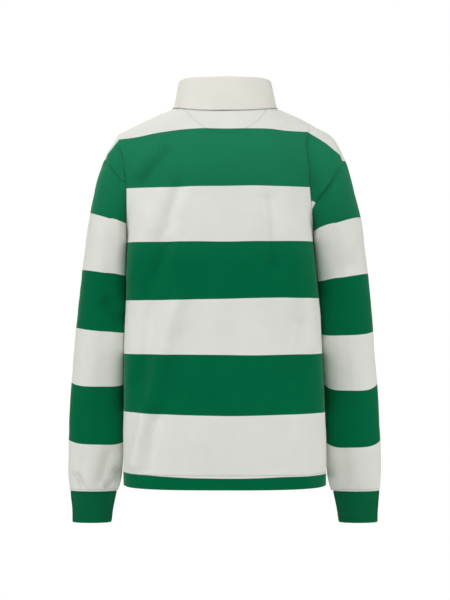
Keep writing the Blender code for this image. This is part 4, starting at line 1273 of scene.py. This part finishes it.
def rubber_button(name, front, z, finish):
    """A moulded button: a rounded rim, a dished face, and four holes sunk into it."""
    point, normal, across, up = button_place(front, z)
    foot = JERSEY / 2 + PLACKET_WALL + 3 * SEAM_GAP
    sides, rings = 48, len(BUTTON["radius"])
    turn = np.linspace(0, 2 * math.pi, sides, endpoint=False)[:, None]
    circle = across * np.cos(turn) + up * np.sin(turn)
    vertices = [point + normal * foot]
    for radius, height in zip(BUTTON["radius"], BUTTON["height"]):
        vertices.extend(point + normal * (foot + height) + circle * radius)
    faces = [(0, 1 + (k + 1) % sides, 1 + k) for k in range(sides)]
    for ring in range(rings - 1):
        for k in range(sides):
            low, after = 1 + ring * sides, (k + 1) % sides
            faces.append((low + k, low + after, low + after + sides, low + k + sides))
    grid = 21
    span = np.linspace(-1, 1, grid)
    first = len(vertices)
    for b in span:
        for a in span:
            # a square grid drawn out to the circle, so that the holes have corners to sink
            r, t = max(abs(a), abs(b)), math.atan2(b, a)
            q = np.array((math.cos(t), math.sin(t))) * r * BUTTON["radius"][-1]
            hole = min(math.hypot(q[0] - i * HOLE_OUT, q[1] - j * HOLE_OUT) for i, j in HOLE_PLACES)
            depth = HOLE_DEPTH * (1 - smooth(*HOLE_RADII, hole)) if r < 1 else 0
            vertices.append(point + across * q[0] + up * q[1] + normal * (foot + BUTTON["height"][-1] - depth))
    for j in range(grid - 1):
        for i in range(grid - 1):
            low = first + j * grid + i
            faces.append((low, low + 1, low + grid + 1, low + grid))
    made = add_object(name, vertices, faces, finish)
    made.data.set_sharp_from_angle(angle=math.radians(60))
    return made


def button_thread(name, front, z, finish):
    """Two crossing strands that hold the button, from hole to hole."""
    point, normal, across, up = button_place(front, z)
    high = JERSEY / 2 + PLACKET_WALL + 3 * SEAM_GAP + BUTTON["height"][-1]
    strands = []
    for i, j in ((1, 1), (-1, 1)):
        for offset in (-0.00016, 0.00016):
            t = np.linspace(-1, 1, 9)[:, None]
            line = (across * i + up * j) * HOLE_OUT * t + (across * j - up * i) * offset
            path = point + line + normal * (high + 0.00030 * (1 - t**2) + 0.00005 * i)
            normals = np.repeat(normal[None], len(path), 0)
            strands.append(sewn_line(name, path, normals, finish, 0.0031, 0, 0.00022, 0.0002))
    return joined(*strands)


def neck_half_moon(name, back, finish):
    """The half-moon facing behind the back panel, as wide and deep as its line of stitching shows."""
    share = np.linspace(1, -1, 61)[None, :]
    depth = np.concatenate([(1, 0.985, 0.96), np.linspace(0.92, 0, 14)])[:, None]
    half_moon = np.sqrt(1 - FACING_ROUND * share**2)
    row = FACING_TOP_ROW - depth * half_moon * (FACING_TOP_ROW - FACING_BOTTOM_ROW)
    points, normals = back.at(share * FACING_SHARE, row)
    near = JERSEY / 2 + SEAM_GAP
    return shell(name, points, normals, -near, near + FACING_WALL, finish)


# The half-moon's line of stitching, as it shows from behind.
HALF_MOON = table("x z", """
    72.2 -7
    69.3 -10.4
    62.5 -19
    51.8 -29.2
    37.5 -42.5
    22 -51
    0 -54
    -22 -51.5
    -40 -42.5
    -56 -31
    -65.5 -20
    -70.5 -11
    -72.2 -7
""")


def cast_on(tree, x, z, lift):
    """Points on the back where lines at these x and z meet it, and the normals there."""
    spots, normals = [], []
    for a, c in zip(x, z):
        spot, normal, _, _ = tree.ray_cast(Vector((a, 1.0, c)), Vector((0, -1, 0)))
        if spot is not None:
            spots.append(np.array(spot) + np.array(normal) * lift)
            normals.append(np.array(normal))
    return np.array(spots), np.array(normals)


# ---- building


def rides(piece, slot, *nodes):
    """Puts a piece on the one body, in place of these nodes."""
    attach(piece, "root")
    if nodes:
        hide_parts(*nodes)


jersey = cotton_jersey()
rib_knit = cotton_rib()
twill = cotton_twill()
rubber = moulded_rubber()
grey_thread = sewing_thread("sewing_thread_grey", "#A9AAA0")
white_thread = sewing_thread("sewing_thread_ecru", "#DCD8CC")
green_thread = sewing_thread("sewing_thread_green", "#0B5238")

back, front = Panel(1), Panel(-1)
share_seams(back, front)
trees = [tree_of(panel.points) for panel in (back, front)]
rides(body_cloth("back_cloth", back, jersey), "striped_jersey", "back_panel")
rides(body_cloth("front_cloth", front, jersey), "striped_jersey", "front_panel")

for side, word in ((1, "left"), (-1, "right")):
    made, points = sleeve_cloth(f"sleeve_{word}_cloth", side, trees, jersey)
    rides(made, "striped_jersey", f"sleeve_{word}")
    for face in (1, -1):
        lapped_fold(made, side, face, jersey)
    path, normals = ring_of(points, CUFF_TOP_Z + CUFF_STITCH_UP)
    sewn = sewn_line(f"cuff_{word}_stitches", path + normals * (JERSEY / 2 + ON_TOP), normals, grey_thread)
    rides(sewn, "ecru_twill")
    rides(cuff_rib(f"cuff_{word}_rib", side, rib_knit), "green_rib", f"cuff_{word}")

rides(collar_cloth("collar_twill", trees, twill), "ecru_twill", "collar")
for side, word in ((1, "upper"), (-1, "under")):
    rides(placket_strip(f"placket_{word}_twill", front, side, twill), "ecru_twill", f"placket_{word}")
rides(neck_half_moon("half_moon_twill", back, twill), "ecru_twill", "neck_facing")

for number, z in enumerate(BUTTON_Z, start=1):
    rides(rubber_button(f"rubber_button_{number}", front, z, rubber), "button_rubber", f"button_{number}")
    rides(button_thread(f"button_thread_{number}", front, z, white_thread), "ecru_twill")

# The line of stitching that holds the turned hem.
for panel, word in ((back, "back"), (front, "front")):
    across = np.linspace(0.995, -0.995, 260)
    path, normals = panel.at(across, np.full(260, HEM_STITCH_UP / BODY_LENGTH))
    path = path + normals * (JERSEY / 2 + ON_TOP)
    rides(sewn_line(f"hem_{word}_stitches", path, normals, grey_thread), "ecru_twill")

run = np.linspace(0, 1, 121)
knots = np.linspace(0, 1, len(HALF_MOON["x"]))
path_x = np.interp(run, knots, HALF_MOON["x"])
path_z = np.interp(run, knots, HALF_MOON["z"])
path, normals = cast_on(trees[0], path_x, path_z, JERSEY / 2 + ON_TOP)
on_white = path[:, 2] > read(YOKE_LINE, "z", path[:, 0]) - 0.0008
lines = []
for part in (on_white & (path[:, 0] > 0), on_white & (path[:, 0] < 0)):
    lines.append(sewn_line("half_moon_stitches", path[part], normals[part], grey_thread))
rides(joined(*lines), "ecru_twill")
rides(sewn_line("half_moon_foot_stitches", path[~on_white], normals[~on_white], green_thread), "striped_jersey")

# The placket's edge stitching: down both sides, and across its foot.
rows = np.linspace(PLACKET_BOTTOM_ROW + 0.008, PLACKET_TOP_ROW - 0.02, 80)
inset = PLACKET_HALF_WIDTH - 0.0022
lines = []
high = JERSEY / 2 + PLACKET_WALL + SEAM_GAP
for x in (inset, -inset):
    points, normals = (a[:, 0] for a in front.at_x(np.array((x,)), rows))
    lines.append(sewn_line("placket_stitches", points + normals * high, normals, white_thread))
for row in (PLACKET_BOTTOM_ROW + 0.008, PLACKET_BOTTOM_ROW + 0.055):
    points, normals = (a[0] for a in front.at_x(np.linspace(-inset, inset, 15), np.array((row,))))
    lines.append(sewn_line("placket_stitches", points + normals * high, normals, white_thread))
rides(joined(*lines), "ecru_twill")

# ---- floor, light and camera
# A matt painted studio floor, well below the hem.
FLOOR_PAINT = "#ECECEA"
floor_paint, tree, shader, place = blank("matt_floor_paint", 0.9, 1.45)
dress(tree, shader, FLOOR_PAINT, (uneven(tree, place, 0.4, 0.985, 1.015),))
FLOOR_Z = -1.25
turn = np.linspace(0, 2 * math.pi, 96, endpoint=False)
floor_points = np.stack([1.9 * np.cos(turn), 1.9 * np.sin(turn), np.full(96, FLOOR_Z)], axis=1)
floor = add_object("studio_floor", floor_points, [tuple(range(96))], floor_paint, smoothed=False)

scene = bpy.context.scene
scene.view_settings.view_transform = "Standard"
world = bpy.data.worlds.new("white_studio")
world.use_nodes = True
scene.world = world
tree = world.node_tree
tree.nodes.clear()
sight = add_node(tree, "ShaderNodeLightPath")
glow = add_node(tree, "ShaderNodeBackground", {"Color": linear("#FFFFFF"), "Strength": 0.34})
plain = add_node(tree, "ShaderNodeBackground", {"Color": linear("#FFFFFF"), "Strength": 1.0})
both = add_node(tree, "ShaderNodeMixShader", links={0: sight.outputs["Is Camera Ray"], 1: glow, 2: plain})
add_node(tree, "ShaderNodeOutputWorld", links={"Surface": both})


def softbox(name, place, aim, size, power):
    """A large square lamp."""
    lamp = bpy.data.lights.new(name, "AREA")
    lamp.shape = "RECTANGLE"
    lamp.size, lamp.size_y = size
    lamp.energy = power
    made = bpy.data.objects.new(name, lamp)
    made.location = place
    made.rotation_euler = (Vector(aim) - Vector(place)).to_track_quat("-Z", "Y").to_euler()
    scene.collection.objects.link(made)


softbox("key_light", (0.6, 1.3, 1.5), (0, 0, -0.20), (1.2, 1.0), 17)
softbox("fill_light", (-0.3, 4.2, 0.2), (0, 0, -0.35), (1.6, 1.6), 21)
softbox("left_light", (2.6, 1.3, 0.3), (0, 0, -0.38), (0.9, 1.8), 20)
softbox("right_light", (-2.8, 0.5, 0.1), (0, 0, -0.40), (1.0, 2.4), 22)
softbox("right_fill_light", (-2.5, 1.8, 0.4), (0, 0, -0.35), (0.9, 1.6), 7)
softbox("front_light", (0.8, -2.8, 1.6), (0, 0, -0.30), (2.0, 2.0), 60)

camera = bpy.data.cameras.new("camera")
camera.sensor_fit = "VERTICAL"
camera.angle = 2 * math.atan(HALF_HEIGHT / EYE[1])
eye = bpy.data.objects.new("camera", camera)
eye.location = EYE
eye.rotation_euler = (math.pi / 2, 0, math.pi)
scene.collection.objects.link(eye)
scene.camera = eye
